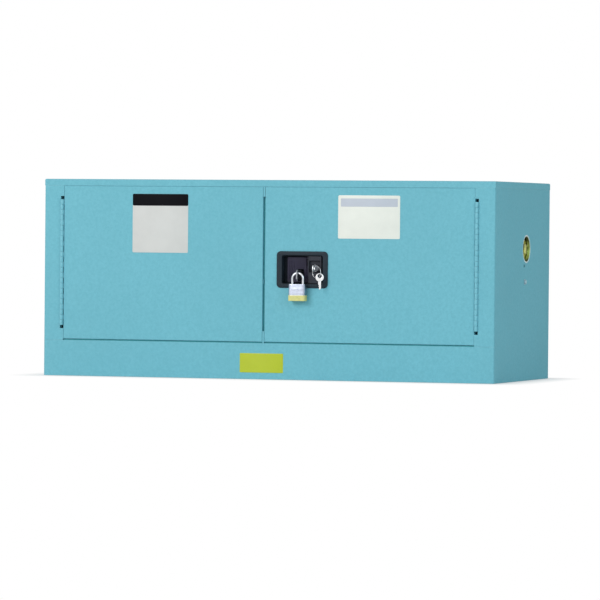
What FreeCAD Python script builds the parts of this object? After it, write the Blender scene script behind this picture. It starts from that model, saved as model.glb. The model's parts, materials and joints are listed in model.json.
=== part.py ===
"""Corrosive storage cabinet: a double-wall steel case with two hinged doors and a three-point latch.

Millimetres and degrees. The origin is the middle of the base, +Z is up and the doors face -Y.
"""
import FreeCAD
import Part
import Sketcher
import math
import os

doc = FreeCAD.newDocument("corrosive_cabinet")
sheet = doc.addObject("Spreadsheet::Sheet", "Sizes")

DRIVING = [
    ("case_width", 1092.2, "outside width of the case, 43 in"),
    ("case_depth", 457.2, "outside depth of the case, 18 in"),
    ("case_height", 457.2, "outside height of the case, 18 in"),
    ("steel", 1.2, "thickness of 18-gauge sheet"),
    ("air_space", 38.1, "gap between the two walls, 1.5 in"),
    ("bend", 3, "outer radius of a bend in the case"),
    ("wrap", 15, "how far a corner piece runs round onto the next side"),
    ("sill_top", 82.5, "top edge of the rail under the doors"),
    ("rail_bottom", 442, "bottom edge of the rail over the doors"),
    ("rebate", 10, "depth from the face to the rebate that a door's lip covers"),
    ("opening_bottom", 109, "bottom of the doorway"),
    ("opening_top", 420, "top of the doorway"),
    ("reveal", 42, "depth of the doorway's edges"),
    ("floor_level", 58, "top of the inner floor"),
    ("roof_level", 416.7, "underside of the inner roof"),
    ("door_bottom", 85.5, "bottom edge of a door's skin"),
    ("door_top", 441.6, "top edge of a door's skin"),
    ("box_bottom", 111, "bottom of the thick part of a door"),
    ("box_top", 418, "top of the thick part of a door"),
    ("door_edge", 498.3, "hinge edge of a door, from the middle of the case"),
    ("left_meeting_edge", -8.5, "free edge of the left door"),
    ("right_meeting_edge", -3.5, "free edge of the right door"),
    ("door_thickness", 38, "thickness of a door"),
    ("skin_depth", 9, "depth of a door's pressed skin"),
    ("door_bend", 2, "outer radius of a bend in a door"),
    ("knuckle_radius", 4, "outer radius of a hinge knuckle"),
    ("knuckle_length", 24, "length of one knuckle"),
    ("knuckle_gap", 0.4, "gap between two knuckles"),
    ("knuckles_each", 6, "knuckles on each leaf of a hinge"),
    ("leaf", 1.5, "thickness of a hinge leaf"),
    ("leaf_depth", 26, "depth of a hinge leaf behind its pin"),
    ("hinge_pin_radius", 1.5, "radius of a hinge pin"),
    ("hinge_bottom", 117.4, "bottom end of a hinge"),
    ("hinge_end", 7.5, "open notch past each end of a hinge"),
    ("hinge_proud", 1, "how far the hinge axis stands in front of the face"),
    ("running_gap", 0.05, "radial clearance of a piece that turns or slides in a hole"),
    ("vent_y", 31, "place of the vents along the depth"),
    ("right_vent_z", 304, "height of the right vent"),
    ("left_vent_z", 153, "height of the left vent"),
    ("vent_hole_radius", 32.5, "radius of the vent's hole in both walls"),
    ("sleeve_bore_radius", 29, "bore radius of a vent sleeve, 2 in pipe thread"),
    ("shelf_level", 236, "top of the shelf"),
    ("shelf_lip", 25, "height of the shelf's folded edges"),
    ("dish_left", 26, "left edge of the handle dish"),
    ("dish_right", 149.3, "right edge of the handle dish"),
    ("dish_bottom", 210.3, "bottom edge of the handle dish"),
    ("dish_top", 294.4, "top edge of the handle dish"),
    ("dish_proud", 2.5, "how far the dish's rim stands on the door"),
    ("dish_depth", 20, "depth of the dish's floor behind the face"),
    ("dish_wall", 2, "wall of the dish"),
    ("pivot_x", 96.5, "place of the paddle's pin across the door"),
    ("pivot_depth", 14, "depth of the paddle's pin behind the face"),
    ("paddle_pin_radius", 2, "radius of the paddle's pin"),
    ("cam_x", 88, "place of the latch cam across the door"),
    ("cam_z", 239.4, "height of the latch cam"),
    ("cam_reach", 16, "distance from the cam's pivot to a pin"),
    ("cam_pin_radius", 2.5, "radius of the pins on the cam"),
    ("cam_turn", 45, "angle through which the cam turns"),
    ("rod_radius", 4, "radius of a latch rod"),
    ("lock_x", 118.5, "place of the lock across the door"),
    ("lock_z", 256, "height of the lock"),
    ("barrel_radius", 8.5, "radius of the lock's barrel"),
    ("plug_radius", 6.5, "radius of the lock's plug"),
    ("padlock_x", 81, "middle of the padlock"),
    ("padlock_depth", -13, "depth of the shackle's plane, in front of the face"),
    ("crown_z", 244.5, "height of the wire at the shackle's crown"),
    ("shackle_spread", 12.7, "half the distance between the shackle's legs"),
    ("wire_radius", 2.9, "radius of the shackle's wire"),
    ("padlock_width", 39.6, "width of the padlock's plates"),
    ("padlock_thickness", 19, "thickness of the padlock's plates"),
    ("padlock_top", 219.4, "top of the padlock's body"),
    ("padlock_bottom", 181, "bottom of the padlock's body"),
    ("key_ring_radius", 13.5, "radius of the key ring's wire circle"),
]


class Size:
    """A length that knows its number and the formula that gives it in the sheet."""

    def __init__(self, value, text):
        self.value = value
        self.text = text

    def __float__(self):
        return float(self.value)

    def __add__(self, other):
        other = as_size(other)
        return Size(self.value + other.value, f"({self.text} + {other.text})")

    def __radd__(self, other):
        return as_size(other) + self

    def __sub__(self, other):
        other = as_size(other)
        return Size(self.value - other.value, f"({self.text} - {other.text})")

    def __rsub__(self, other):
        return as_size(other) - self

    def __mul__(self, other):
        other = as_size(other)
        return Size(self.value * other.value, f"({self.text} * {other.text})")

    def __rmul__(self, other):
        return as_size(other) * self

    def __truediv__(self, other):
        other = as_size(other)
        return Size(self.value / other.value, f"({self.text} / {other.text})")

    def __neg__(self):
        return 0 - self


def as_size(number):
    """The number itself as a Size, or the Size unchanged."""
    if isinstance(number, Size):
        return number
    return Size(float(number), f"{float(number):.6g}")


class Sizes:
    """Every driving dimension, by name."""


def fill_sheet():
    """Write the driving dimensions into the sheet and return them by name."""
    found = Sizes()
    for row, (name, value, meaning) in enumerate(DRIVING, start=1):
        sheet.set(f"A{row}", name)
        sheet.set(f"B{row}", str(value))
        sheet.set(f"C{row}", meaning)
        sheet.setAlias(f"B{row}", name)
        setattr(found, name, Size(value, f"Sizes.{name}"))
    doc.recompute()
    return found


mm = fill_sheet()

# planes and levels that many pieces share
FRONT = -mm.case_depth / 2
BACK = mm.case_depth / 2
HALF = mm.case_width / 2
INNER_FACE = mm.air_space + mm.steel
STILE_INNER = HALF - INNER_FACE
LINER_BACK = BACK - mm.steel - INNER_FACE
REVEAL_END = FRONT + mm.reveal
REBATE = FRONT + mm.rebate
SKIN_BACK = FRONT + mm.skin_depth
DOOR_BACK = FRONT + mm.door_thickness
HINGE_X = STILE_INNER - mm.knuckle_radius
HINGE_Y = FRONT - mm.hinge_proud
KNUCKLE_PITCH = mm.knuckle_length + mm.knuckle_gap
HINGE_LENGTH = KNUCKLE_PITCH * mm.knuckles_each * 2 - mm.knuckle_gap
HINGE_TOP = mm.hinge_bottom + HINGE_LENGTH
SIDES = {"left": -1, "right": 1}

# the latch rods hang from pins on the cam, which turn evenly to both sides of level
HALF_TURN = mm.cam_turn / 2
PIN_LEVEL = mm.cam_reach * math.sin(math.radians(HALF_TURN.value))
PIN_ACROSS = mm.cam_reach * (1 + math.cos(math.radians(HALF_TURN.value))) / 2
ROD_THROW = PIN_LEVEL * 2
TOP_ROD_X = mm.cam_x - PIN_ACROSS
BOTTOM_ROD_X = mm.cam_x + PIN_ACROSS
CAM_Y = FRONT + mm.dish_depth + mm.dish_wall + 1
LINK_Y = CAM_Y + 2.5
ROD_Y = LINK_Y + 3
BOLT_Y = LINK_Y + 5
BOLT_Z = mm.cam_z - PIN_ACROSS

# the paddle's pivot, its heel that reaches the cam, and its spring
PIVOT_X = mm.pivot_x
PIVOT_Y = FRONT + mm.pivot_depth
HEEL_LOW = mm.cam_z + 13.6
HEEL_HIGH = HEEL_LOW + 6
SPRING_LOW = mm.dish_bottom + 52
SPRING_HIGH = SPRING_LOW + 14

# the dish's box behind its rim
BOX_LEFT = mm.dish_left + 11
BOX_RIGHT = mm.dish_right - 10.3
BOX_LOW = mm.dish_bottom + 7.7
BOX_HIGH = mm.dish_top - 7.4
DISH_FLOOR = FRONT + mm.dish_depth

# the flat bolt between the doors, and the play round it and round the rods
BOLT_THICK = 4
BOLT_HALF = 6
PLAY = 0.5
ROD_HOLE = mm.rod_radius + 0.6
ROD_PIN_SLOT = mm.cam_pin_radius + 0.3

# how far a pocket starts before the metal it cuts and ends behind it
OVER = 1

# how the keys hang, in degrees
KEY_HOLE = 4.8
RING_LEAN = 42.7
RING_YAW = 28
SPARE_KEY_YAW = 20

PLANES = {"X": "YZ_Plane", "Y": "XZ_Plane", "Z": "XY_Plane"}
UNIT = {
    "X": FreeCAD.Vector(1, 0, 0),
    "Y": FreeCAD.Vector(0, 1, 0),
    "Z": FreeCAD.Vector(0, 0, 1),
}
CLOSE = 0.01

sub_parts = []


def rectangle(u_low, u_high, v_low, v_high):
    """A rectangle's corners in a sketch."""
    return [(u_low, v_low), (u_high, v_low), (u_high, v_high), (u_low, v_high)]


def square(u, v, half):
    """A square about a point in a sketch."""
    return rectangle(u - half, u + half, v - half, v + half)


def flats(u, v, reach, count):
    """A regular outline whose flats stand at the given reach from its middle."""
    corner = reach / math.cos(math.pi / count)
    turns = [math.tau * (step + 0.5) / count for step in range(count)]
    return [(u + corner * math.cos(turn), v + corner * math.sin(turn)) for turn in turns]


def corners_on(u, v, radius, count):
    """A regular outline whose corners stand on a circle."""
    return flats(u, v, radius * math.cos(math.pi / count), count)


def disc(u, v, radius):
    """A circle in a sketch."""
    return ("circle", u, v, radius)


def bolt_slot():
    """The slot along the depth and the height that the centre bolt slides through."""
    return rectangle(
        BOLT_Y - PLAY,
        BOLT_Y + BOLT_THICK + PLAY,
        BOLT_Z - BOLT_HALF - PLAY,
        BOLT_Z + BOLT_HALF + PLAY,
    )


def cut_corners(u_low, u_high, v_low, v_high, corner):
    """A rectangle with its corners cut off in a sketch."""
    return [
        (u_low + corner, v_low),
        (u_high - corner, v_low),
        (u_high, v_low + corner),
        (u_high, v_high - corner),
        (u_high - corner, v_high),
        (u_low + corner, v_high),
        (u_low, v_high - corner),
        (u_low, v_low + corner),
    ]


def mirrored(side, low, high):
    """A stretch along X on the named side of the case, lowest first."""
    if side > 0:
        return low, high
    return -high, -low


def bind(thing, name, length):
    """Tie a property to its formula in the sheet."""
    thing.setExpression(name, as_size(length).text)


class Piece:
    """One sub-part: a body made of sketches on its own origin planes and the features on them."""

    def __init__(self, name):
        self.body = doc.addObject("PartDesign::Body", name)
        self.body.Label = name
        self.count = 0
        sub_parts.append(self.body)

    def add(self, kind, word):
        """A new feature, named after the piece."""
        self.count += 1
        return self.body.newObject(kind, f"{self.body.Name}_{word}{self.count}")

    def settle(self, made):
        """Work the new feature out, and stop if it failed."""
        doc.recompute()
        if "Invalid" in made.State or not self.body.Shape.isValid():
            raise RuntimeError(f"{made.Name} failed")
        return made

    def sketch(self, axis, base, outlines):
        """A sketch square to an axis, its origin at base, with each point dimensioned."""
        made = self.add("Sketcher::SketchObject", "sketch")
        features = self.body.Origin.OriginFeatures
        made.AttachmentSupport = [(next(f for f in features if f.Role == PLANES[axis]), "")]
        made.MapMode = "FlatFace"
        base = [as_size(b) for b in base]
        made.AttachmentOffset = FreeCAD.Placement(
            FreeCAD.Vector(*[float(b) for b in base]), FreeCAD.Rotation()
        )
        for letter, length in zip("xyz", base):
            bind(made, f"AttachmentOffset.Base.{letter}", length)
        for outline in outlines:
            if outline[0] == "circle":
                self.draw_circle(made, *outline[1:])
            else:
                self.draw_outline(made, outline)
        return made

    def dimension(self, made, kind, where, length):
        """One named dimension of a sketch, tied to the sheet."""
        index = made.addConstraint(Sketcher.Constraint(kind, *where, float(as_size(length))))
        made.renameConstraint(index, f"size{index}")
        bind(made, f"Constraints.size{index}", length)

    def draw_circle(self, made, u, v, radius):
        u, v, radius = as_size(u), as_size(v), as_size(radius)
        centre = FreeCAD.Vector(float(u), float(v), 0)
        curve = made.addGeometry(Part.Circle(centre, FreeCAD.Vector(0, 0, 1), float(radius)))
        self.dimension(made, "DistanceX", (-1, 1, curve, 3), u)
        self.dimension(made, "DistanceY", (-1, 1, curve, 3), v)
        self.dimension(made, "Radius", (curve,), radius)

    def draw_outline(self, made, points):
        points = [(as_size(u), as_size(v)) for u, v in points]
        places = [FreeCAD.Vector(float(u), float(v), 0) for u, v in points]
        lines = [
            made.addGeometry(Part.LineSegment(start, end))
            for start, end in zip(places, places[1:] + places[:1])
        ]
        for line, following in zip(lines, lines[1:] + lines[:1]):
            made.addConstraint(Sketcher.Constraint("Coincident", line, 2, following, 1))
        for line, (u, v) in zip(lines, points):
            self.dimension(made, "DistanceX", (-1, 1, line, 1), u)
            self.dimension(made, "DistanceY", (-1, 1, line, 1), v)

    def pad(self, axis, low, high, *outlines):
        """Material between two levels of an axis."""
        low, high = as_size(low), as_size(high)
        offset = -low if axis == "Y" else low
        made = self.add("PartDesign::Pad", "pad")
        made.Profile = self.sketch(axis, (0, 0, offset), outlines)
        made.Reversed = axis == "Y"
        bind(made, "Length", high - low)
        return self.settle(made)

    def cut(self, axis, low, high, *outlines):
        """A pocket between two levels of an axis."""
        low, high = as_size(low), as_size(high)
        offset = -low if axis == "Y" else low
        before = self.body.Shape.Volume
        made = self.add("PartDesign::Pocket", "cut")
        made.Profile = self.sketch(axis, (0, 0, offset), outlines)
        made.Reversed = axis != "Y"
        bind(made, "Length", high - low)
        self.settle(made)
        if self.body.Shape.Volume > before - CLOSE:
            raise RuntimeError(f"a pocket of {self.body.Label} cuts nothing")
        return made

    def turned(self, axis, across, profile):
        """A body of revolution: profile points are (place along the axis, radius)."""
        first, second = [as_size(c) for c in across]
        if axis == "X":
            plane, base, line = "Y", (0, second, -first), "H_Axis"
        elif axis == "Y":
            plane, base, line = "X", (0, second, first), "H_Axis"
        else:
            plane, base, line = "Y", (first, 0, -second), "V_Axis"
            profile = [(radius, along) for along, radius in profile]
        made = self.add("PartDesign::Revolution", "turned")
        drawn = self.sketch(plane, base, [profile])
        made.Profile = drawn
        made.ReferenceAxis = (drawn, [line])
        made.Angle = 360
        return self.settle(made)

    def edges(self, axes, **places):
        """Names of the straight edges along one or more axes whose middles are at the given places."""
        names = []
        for number, edge in enumerate(self.body.Shape.Edges, start=1):
            if edge.Curve.TypeId != "Part::GeomLine":
                continue
            if all(abs(edge.Curve.Direction.dot(UNIT[axis])) < 1 - CLOSE for axis in axes):
                continue
            middle = edge.CenterOfMass
            if all(near(getattr(middle, key), wanted) for key, wanted in places.items()):
                names.append(f"Edge{number}")
        if not names:
            raise RuntimeError(f"no such edge on {self.body.Label}: {axes} {places}")
        return names

    def dress(self, kind, word, names, property_name, length):
        """A fillet or chamfer on the named edges."""
        base = self.body.Tip
        made = self.add(kind, word)
        made.Base = (base, names)
        bind(made, property_name, length)
        return self.settle(made)

    def round(self, radius, axes, **places):
        """Round the straight edges along some axes at the given places."""
        names = self.edges(axes, **places)
        return self.dress("PartDesign::Fillet", "round", names, "Radius", radius)

    def bevel(self, size, axes, **places):
        """Bevel the straight edges along some axes at the given places."""
        names = self.edges(axes, **places)
        return self.dress("PartDesign::Chamfer", "bevel", names, "Size", size)

    def hollow(self, wall, *open_sides):
        """Leave a wall inside the outline and take away the faces that look out of the open sides."""
        names = []
        shape = self.body.Shape
        for axis, way in open_sides:
            outward = UNIT[axis] * way
            reach = max(face.CenterOfMass.dot(outward) for face in shape.Faces)
            for number, face in enumerate(shape.Faces, start=1):
                if face.Surface.TypeId == "Part::GeomPlane":
                    if face.CenterOfMass.dot(outward) > reach - CLOSE:
                        names.append(f"Face{number}")
        base = self.body.Tip
        made = self.add("PartDesign::Thickness", "hollow")
        made.Base = (base, names)
        made.Reversed = True
        bind(made, "Value", wall)
        return self.settle(made)

    def row(self, features, axis, step, count):
        """Repeat features in a row along an axis of the body."""
        count = as_size(count)
        made = self.add("PartDesign::LinearPattern", "row")
        made.Originals = features
        lines = self.body.Origin.OriginFeatures
        made.Direction = (next(f for f in lines if f.Role == f"{axis}_Axis"), [""])
        made.Occurrences = int(count.value)
        bind(made, "Length", step * (count - 1))
        self.body.Tip = made
        return self.settle(made)

    def twin(self, plane):
        """Add the mirror image of the whole piece in one of its origin planes."""
        made = self.add("PartDesign::Mirrored", "twin")
        made.TransformMode = "Whole shape"
        planes = self.body.Origin.OriginFeatures
        made.MirrorPlane = (next(f for f in planes if f.Role == plane), [""])
        self.body.Tip = made
        return self.settle(made)


def near(value, wanted):
    """Whether a coordinate is at one of the wanted places."""
    if not isinstance(wanted, (list, tuple)):
        wanted = [wanted]
    return any(abs(value - float(place)) < CLOSE for place in wanted)


def outer_panels():
    """The outer wall: a lid pressing, two sides, a back and a bottom tray."""
    lid = Piece("outer_top")
    lid.pad("Z", mm.rail_bottom, mm.case_height, rectangle(-HALF, HALF, FRONT, BACK))
    lid.round(mm.bend, "XY", z=mm.case_height)
    lid.hollow(mm.steel, ("Z", -1))

    for name, side in SIDES.items():
        outline = [
            (side * HALF, FRONT + mm.wrap),
            (side * HALF, BACK),
            (side * (HALF - mm.wrap), BACK),
            (side * (HALF - mm.wrap), BACK - mm.steel),
            (side * (HALF - mm.steel), BACK - mm.steel),
            (side * (HALF - mm.steel), FRONT + mm.wrap),
        ]
        panel = Piece(f"outer_{name}_side")
        panel.pad("Z", 0, mm.rail_bottom, outline)
        panel.round(mm.bend, "Z", x=side * HALF, y=BACK)
        panel.round(mm.bend - mm.steel, "Z", x=side * (HALF - mm.steel), y=BACK - mm.steel)
        height = mm.right_vent_z if side > 0 else mm.left_vent_z
        low, high = mirrored(side, HALF - 2 * mm.steel, HALF + mm.steel)
        panel.cut("X", low, high, disc(mm.vent_y, height, mm.vent_hole_radius))

    back = Piece("outer_back")
    inside = HALF - mm.steel
    lap = 8
    side_gap = 2
    back.pad(
        "Y",
        BACK - 2 * mm.steel,
        BACK - mm.steel,
        rectangle(-inside + side_gap, inside - side_gap, mm.steel, mm.rail_bottom + lap),
    )

    bottom = Piece("outer_bottom")
    fold = 18
    bottom.pad(
        "Z", 0, fold, rectangle(-inside, inside, FRONT + mm.steel, BACK - 2 * mm.steel)
    )
    bottom.bevel(side_gap, "Z")
    bottom.hollow(mm.steel, ("Z", 1))


def face_frame():
    """The front frame round the doors: sill, stiles, and the channels that form the rebates."""
    sill = Piece("frame_sill")
    sill.pad("Z", 0, mm.sill_top, rectangle(-HALF, HALF, FRONT, FRONT + mm.wrap))
    sill.round(mm.bend, "Z", y=FRONT)
    sill.hollow(mm.steel, ("Y", 1), ("Z", 1), ("Z", -1))

    ear_reach = 8
    back_leg = REVEAL_END + 13
    for name, side in SIDES.items():
        outline = [
            (side * STILE_INNER, back_leg),
            (side * STILE_INNER, FRONT),
            (side * HALF, FRONT),
            (side * HALF, FRONT + mm.wrap),
            (side * (HALF - mm.steel), FRONT + mm.wrap),
            (side * (HALF - mm.steel), FRONT + mm.steel),
            (side * (STILE_INNER + mm.steel), FRONT + mm.steel),
            (side * (STILE_INNER + mm.steel), back_leg),
        ]
        stile = Piece(f"frame_{name}_stile")
        stile.pad("Z", mm.sill_top, mm.rail_bottom, outline)
        stile.round(mm.bend, "Z", x=side * HALF, y=FRONT)
        stile.round(mm.bend - mm.steel, "Z", x=side * (HALF - mm.steel), y=FRONT + mm.steel)
        ear_edge = STILE_INNER - ear_reach
        ear = [
            (side * ear_edge, FRONT),
            (side * (STILE_INNER + mm.steel), FRONT),
            (side * (STILE_INNER + mm.steel), FRONT + mm.steel),
            (side * (ear_edge + mm.steel), FRONT + mm.steel),
            (side * (ear_edge + mm.steel), REBATE),
            (side * ear_edge, REBATE),
        ]
        stile.pad("Z", mm.sill_top, mm.hinge_bottom - mm.hinge_end, ear)
        stile.pad("Z", HINGE_TOP + mm.hinge_end, mm.rail_bottom, ear)

    stop_play = 0.4
    stop_gap = 0.6
    stop_face = FRONT + 0.8
    hole = mm.rod_radius + 1
    for name, ledge, lip, liner, way in (
        ("header_channel", mm.rail_bottom, mm.opening_top, mm.roof_level, 1),
        ("sill_channel", mm.sill_top, mm.opening_bottom, mm.floor_level - mm.steel, -1),
    ):
        thick = way * mm.steel
        outline = [
            (FRONT + mm.steel, ledge),
            (REBATE, ledge),
            (REBATE, lip),
            (REVEAL_END - mm.steel, lip),
            (REVEAL_END - mm.steel, liner),
            (REVEAL_END, liner),
            (REVEAL_END, lip + thick),
            (REBATE + mm.steel, lip + thick),
            (REBATE + mm.steel, ledge + thick),
            (FRONT + mm.steel, ledge + thick),
        ]
        channel = Piece(name)
        channel.pad("X", -STILE_INNER, STILE_INNER, outline)
        rod_x = TOP_ROD_X if way > 0 else BOTTOM_ROD_X
        low = lip if way > 0 else lip - mm.steel
        channel.cut("Z", low - OVER, low + mm.steel + OVER, square(rod_x, ROD_Y, hole))
        low, high = mm.box_top + stop_gap, ledge
        if way < 0:
            low, high = ledge, mm.box_bottom - stop_gap
        left, right = mm.left_meeting_edge + stop_play, mm.right_meeting_edge - stop_play
        channel.pad("Y", stop_face, REBATE, rectangle(left, right, low, high))

    keepers = Piece("bolt_keepers")
    keeper = 3
    half_width, half_depth = 15, 9
    for rod_x, low in (
        (TOP_ROD_X, mm.opening_top + mm.steel),
        (BOTTOM_ROD_X, mm.opening_bottom - mm.steel - keeper),
    ):
        plate = rectangle(
            rod_x - half_width, rod_x + half_width, ROD_Y - half_depth, ROD_Y + half_depth
        )
        keepers.pad("Z", low, low + keeper, plate, square(rod_x, ROD_Y, ROD_HOLE))


def liner_panels():
    """The inner wall, a steel box 38 mm inside the outer one."""
    inside = STILE_INNER - mm.steel
    roof = Piece("liner_top")
    roof.pad(
        "Z",
        mm.roof_level,
        mm.roof_level + mm.steel,
        rectangle(-STILE_INNER, STILE_INNER, REVEAL_END, LINER_BACK),
    )
    floor = Piece("liner_floor")
    floor.pad(
        "Z",
        mm.floor_level - mm.steel,
        mm.floor_level,
        rectangle(-STILE_INNER, STILE_INNER, REVEAL_END, LINER_BACK),
    )
    back = Piece("liner_back")
    back.pad(
        "Y",
        LINER_BACK,
        LINER_BACK + mm.steel,
        rectangle(
            -STILE_INNER, STILE_INNER, mm.floor_level - mm.steel, mm.roof_level + mm.steel
        ),
    )
    for name, side in SIDES.items():
        low, high = mirrored(side, inside, STILE_INNER)
        wall = Piece(f"liner_{name}_side")
        height = mm.right_vent_z if side > 0 else mm.left_vent_z
        wall.pad(
            "X",
            low,
            high,
            rectangle(REVEAL_END, LINER_BACK, mm.floor_level, mm.roof_level),
            disc(mm.vent_y, height, mm.vent_hole_radius),
        )


def vents():
    """A sleeve through both walls on each side, with a wire arrester and a square-headed plug."""
    inside = STILE_INNER - mm.steel
    sleeves = Piece("vent_sleeves")
    arresters = Piece("vent_arresters")
    gauze = 3
    gauze_gap = 4
    rim_flats = 36
    plug_face = HALF - 8
    plug_length = 16
    head_half = 11
    head_proud = 5
    bore = mm.sleeve_bore_radius
    for name, side in SIDES.items():
        height = mm.right_vent_z if side > 0 else mm.left_vent_z
        centre = (mm.vent_y, height)
        tube = [
            (side * inside, bore),
            (side * HALF, bore),
            (side * HALF, mm.vent_hole_radius),
            (side * inside, mm.vent_hole_radius),
        ]
        sleeves.turned("X", centre, tube)
        low, high = mirrored(side, inside + gauze_gap, inside + gauze_gap + gauze)
        arresters.pad("X", low, high, corners_on(*centre, bore, rim_flats))

        cap = Piece(f"{name}_vent_cap")
        plug = bore - mm.running_gap
        cap.turned(
            "X",
            centre,
            [
                (side * (plug_face - plug_length), 0),
                (side * plug_face, 0),
                (side * plug_face, plug),
                (side * (plug_face - plug_length), plug),
            ],
        )
        low, high = mirrored(side, plug_face, plug_face + head_proud)
        cap.pad("X", low, high, square(mm.vent_y, as_size(height), head_half))


def screws():
    """The earthing screw with its washer, and a small screw above it, on the right side."""
    made = Piece("side_screws")
    washer = 1.2
    washer_reach = 6.5
    head = 4
    head_reach = 4.8
    small_head = 2
    small_reach = 3.5
    earth = (15, 228)
    small = (11, 265)
    made.pad("X", HALF, HALF + washer, flats(*earth, washer_reach, 12))
    made.pad("X", HALF + washer, HALF + head, flats(*earth, head_reach, 6))
    made.pad("X", HALF, HALF + small_head, flats(*small, small_reach, 12))


def interior():
    """Slotted uprights, clips, the shelf, and a moulded tray on the shelf and one on the floor."""
    inside = STILE_INNER - mm.steel
    strip = 2
    half_width = 10
    places = (-120, 130)
    strip_low, strip_high = 84, 398
    pitch = 57.15
    slot_half = 2
    slot_height = 12
    slots_high = 4
    uprights = Piece("shelf_standards")
    low, high = inside - strip, inside
    bars = [rectangle(y - half_width, y + half_width, strip_low, strip_high) for y in places]
    uprights.pad("X", low, high, *bars)
    first = mm.shelf_level - mm.shelf_lip - slot_height - 2 * pitch
    slots = [rectangle(y - slot_half, y + slot_half, first, first + slot_height) for y in places]
    slot = uprights.cut("X", low - OVER, high + OVER, *slots)
    uprights.row([slot], "Z", as_size(pitch), slots_high)
    uprights.twin("YZ_Plane")

    clips = Piece("shelf_clips")
    seat = mm.shelf_level - mm.shelf_lip
    clip_drop = 22
    clip_reach = 16
    clip_half = 6
    hook = [
        (inside - strip, seat - clip_drop),
        (inside - strip, seat),
        (inside - clip_reach, seat),
        (inside - clip_reach, seat - 4),
        (inside - strip - 3, seat - clip_drop),
    ]
    for y in places:
        clips.pad("Y", y - clip_half, y + clip_half, hook)
    clips.twin("YZ_Plane")

    shelf = Piece("shelf")
    side_gap = 3
    shelf_front, shelf_back = -150, 175
    half = inside - strip - side_gap
    shelf.pad("Z", seat, mm.shelf_level, rectangle(-half, half, shelf_front, shelf_back))
    shelf.bevel(mm.door_bend, "XY", z=mm.shelf_level)
    shelf.hollow(mm.steel, ("Z", -1))

    wall = 3
    corner = 12
    half = inside - 14
    for name, floor, height, front, back in (
        ("shelf_tray", mm.shelf_level, 32, shelf_front + 5, shelf_back - 5),
        ("sump_tray", mm.floor_level, 45, -180, 180),
    ):
        tray = Piece(name)
        tray.pad("Z", floor, floor + height, rectangle(-half, half, front, back))
        tray.bevel(corner, "Z")
        tray.hollow(wall, ("Z", 1))


def doors():
    """Each door is a pressed skin backed by a box that stands lower at the top and the bottom."""
    lip = 12
    dish_hole = rectangle(BOX_LEFT - PLAY, BOX_RIGHT + PLAY, BOX_LOW - PLAY, BOX_HIGH + PLAY)
    for name, side in SIDES.items():
        free_edge = mm.right_meeting_edge if side > 0 else mm.left_meeting_edge
        low, high = (free_edge, mm.door_edge) if side > 0 else (-mm.door_edge, free_edge)

        skin = Piece(f"{name}_door_skin")
        skin.pad("Y", FRONT, SKIN_BACK, rectangle(low, high, mm.door_bottom, mm.door_top))
        skin.round(mm.door_bend, "XZ", y=FRONT)
        skin.hollow(mm.steel, ("Y", 1))
        skin.pad(
            "Y",
            SKIN_BACK - mm.steel,
            SKIN_BACK,
            rectangle(low + PLAY, high - PLAY, mm.door_bottom + PLAY, mm.door_top - PLAY),
            rectangle(low + lip, high - lip, mm.box_bottom + lip, mm.box_top - lip),
        )

        inner = Piece(f"{name}_door_inner")
        inner.pad("Y", SKIN_BACK, DOOR_BACK, rectangle(low, high, mm.box_bottom, mm.box_top))
        inner.round(mm.door_bend, "XZ", y=DOOR_BACK)
        inner.hollow(mm.steel, ("Y", -1))
        near_edge = mm.steel + PLAY
        inner.cut("X", free_edge - near_edge, free_edge + near_edge, bolt_slot())
        if side > 0:
            skin.cut("Y", FRONT - OVER, FRONT + mm.steel + OVER, dish_hole)
            for rod_x, level in ((TOP_ROD_X, mm.box_top), (BOTTOM_ROD_X, mm.box_bottom)):
                hole = square(rod_x, ROD_Y, ROD_HOLE)
                inner.cut("Z", level - mm.door_bend, level + mm.door_bend, hole)


def hinges():
    """Continuous hinges: flat-sided knuckles on two leaves, alternating on one pin."""
    pins = Piece("hinge_pins")
    radius = mm.knuckle_radius
    clear = radius + 0.3
    knuckle_flats = 10
    bore_flats = 8
    for name, side in SIDES.items():
        axis_x = side * HINGE_X
        pins.pad("Z", mm.hinge_bottom, HINGE_TOP, disc(axis_x, HINGE_Y, mm.hinge_pin_radius))
        for leaf_name, first, way in (("frame_leaf", 0, side), ("door_leaf", 1, -side)):
            leaf = Piece(f"{name}_hinge_{leaf_name}")
            outer = axis_x + way * radius
            if leaf_name == "door_leaf":
                outer = side * mm.door_edge
            inner = outer - way * mm.leaf
            plate = [
                (outer, HINGE_Y + clear),
                (inner, HINGE_Y + clear),
                (inner, HINGE_Y + mm.leaf_depth),
                (outer, HINGE_Y + mm.leaf_depth),
            ]
            leaf.pad("Z", mm.hinge_bottom, HINGE_TOP, plate)
            start = mm.hinge_bottom + KNUCKLE_PITCH * first
            web = [
                (outer, HINGE_Y),
                (inner, HINGE_Y),
                (inner, HINGE_Y + clear),
                (outer, HINGE_Y + clear),
            ]
            arm = leaf.pad("Z", start, start + mm.knuckle_length, web)
            barrel = corners_on(axis_x, HINGE_Y, radius, knuckle_flats)
            knuckle = leaf.pad("Z", start, start + mm.knuckle_length, barrel)
            leaf.row([arm, knuckle], "Z", KNUCKLE_PITCH * 2, mm.knuckles_each)
            bore = flats(axis_x, HINGE_Y, mm.hinge_pin_radius + mm.running_gap, bore_flats)
            leaf.cut("Z", mm.hinge_bottom - OVER, HINGE_TOP + OVER, bore)


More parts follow.
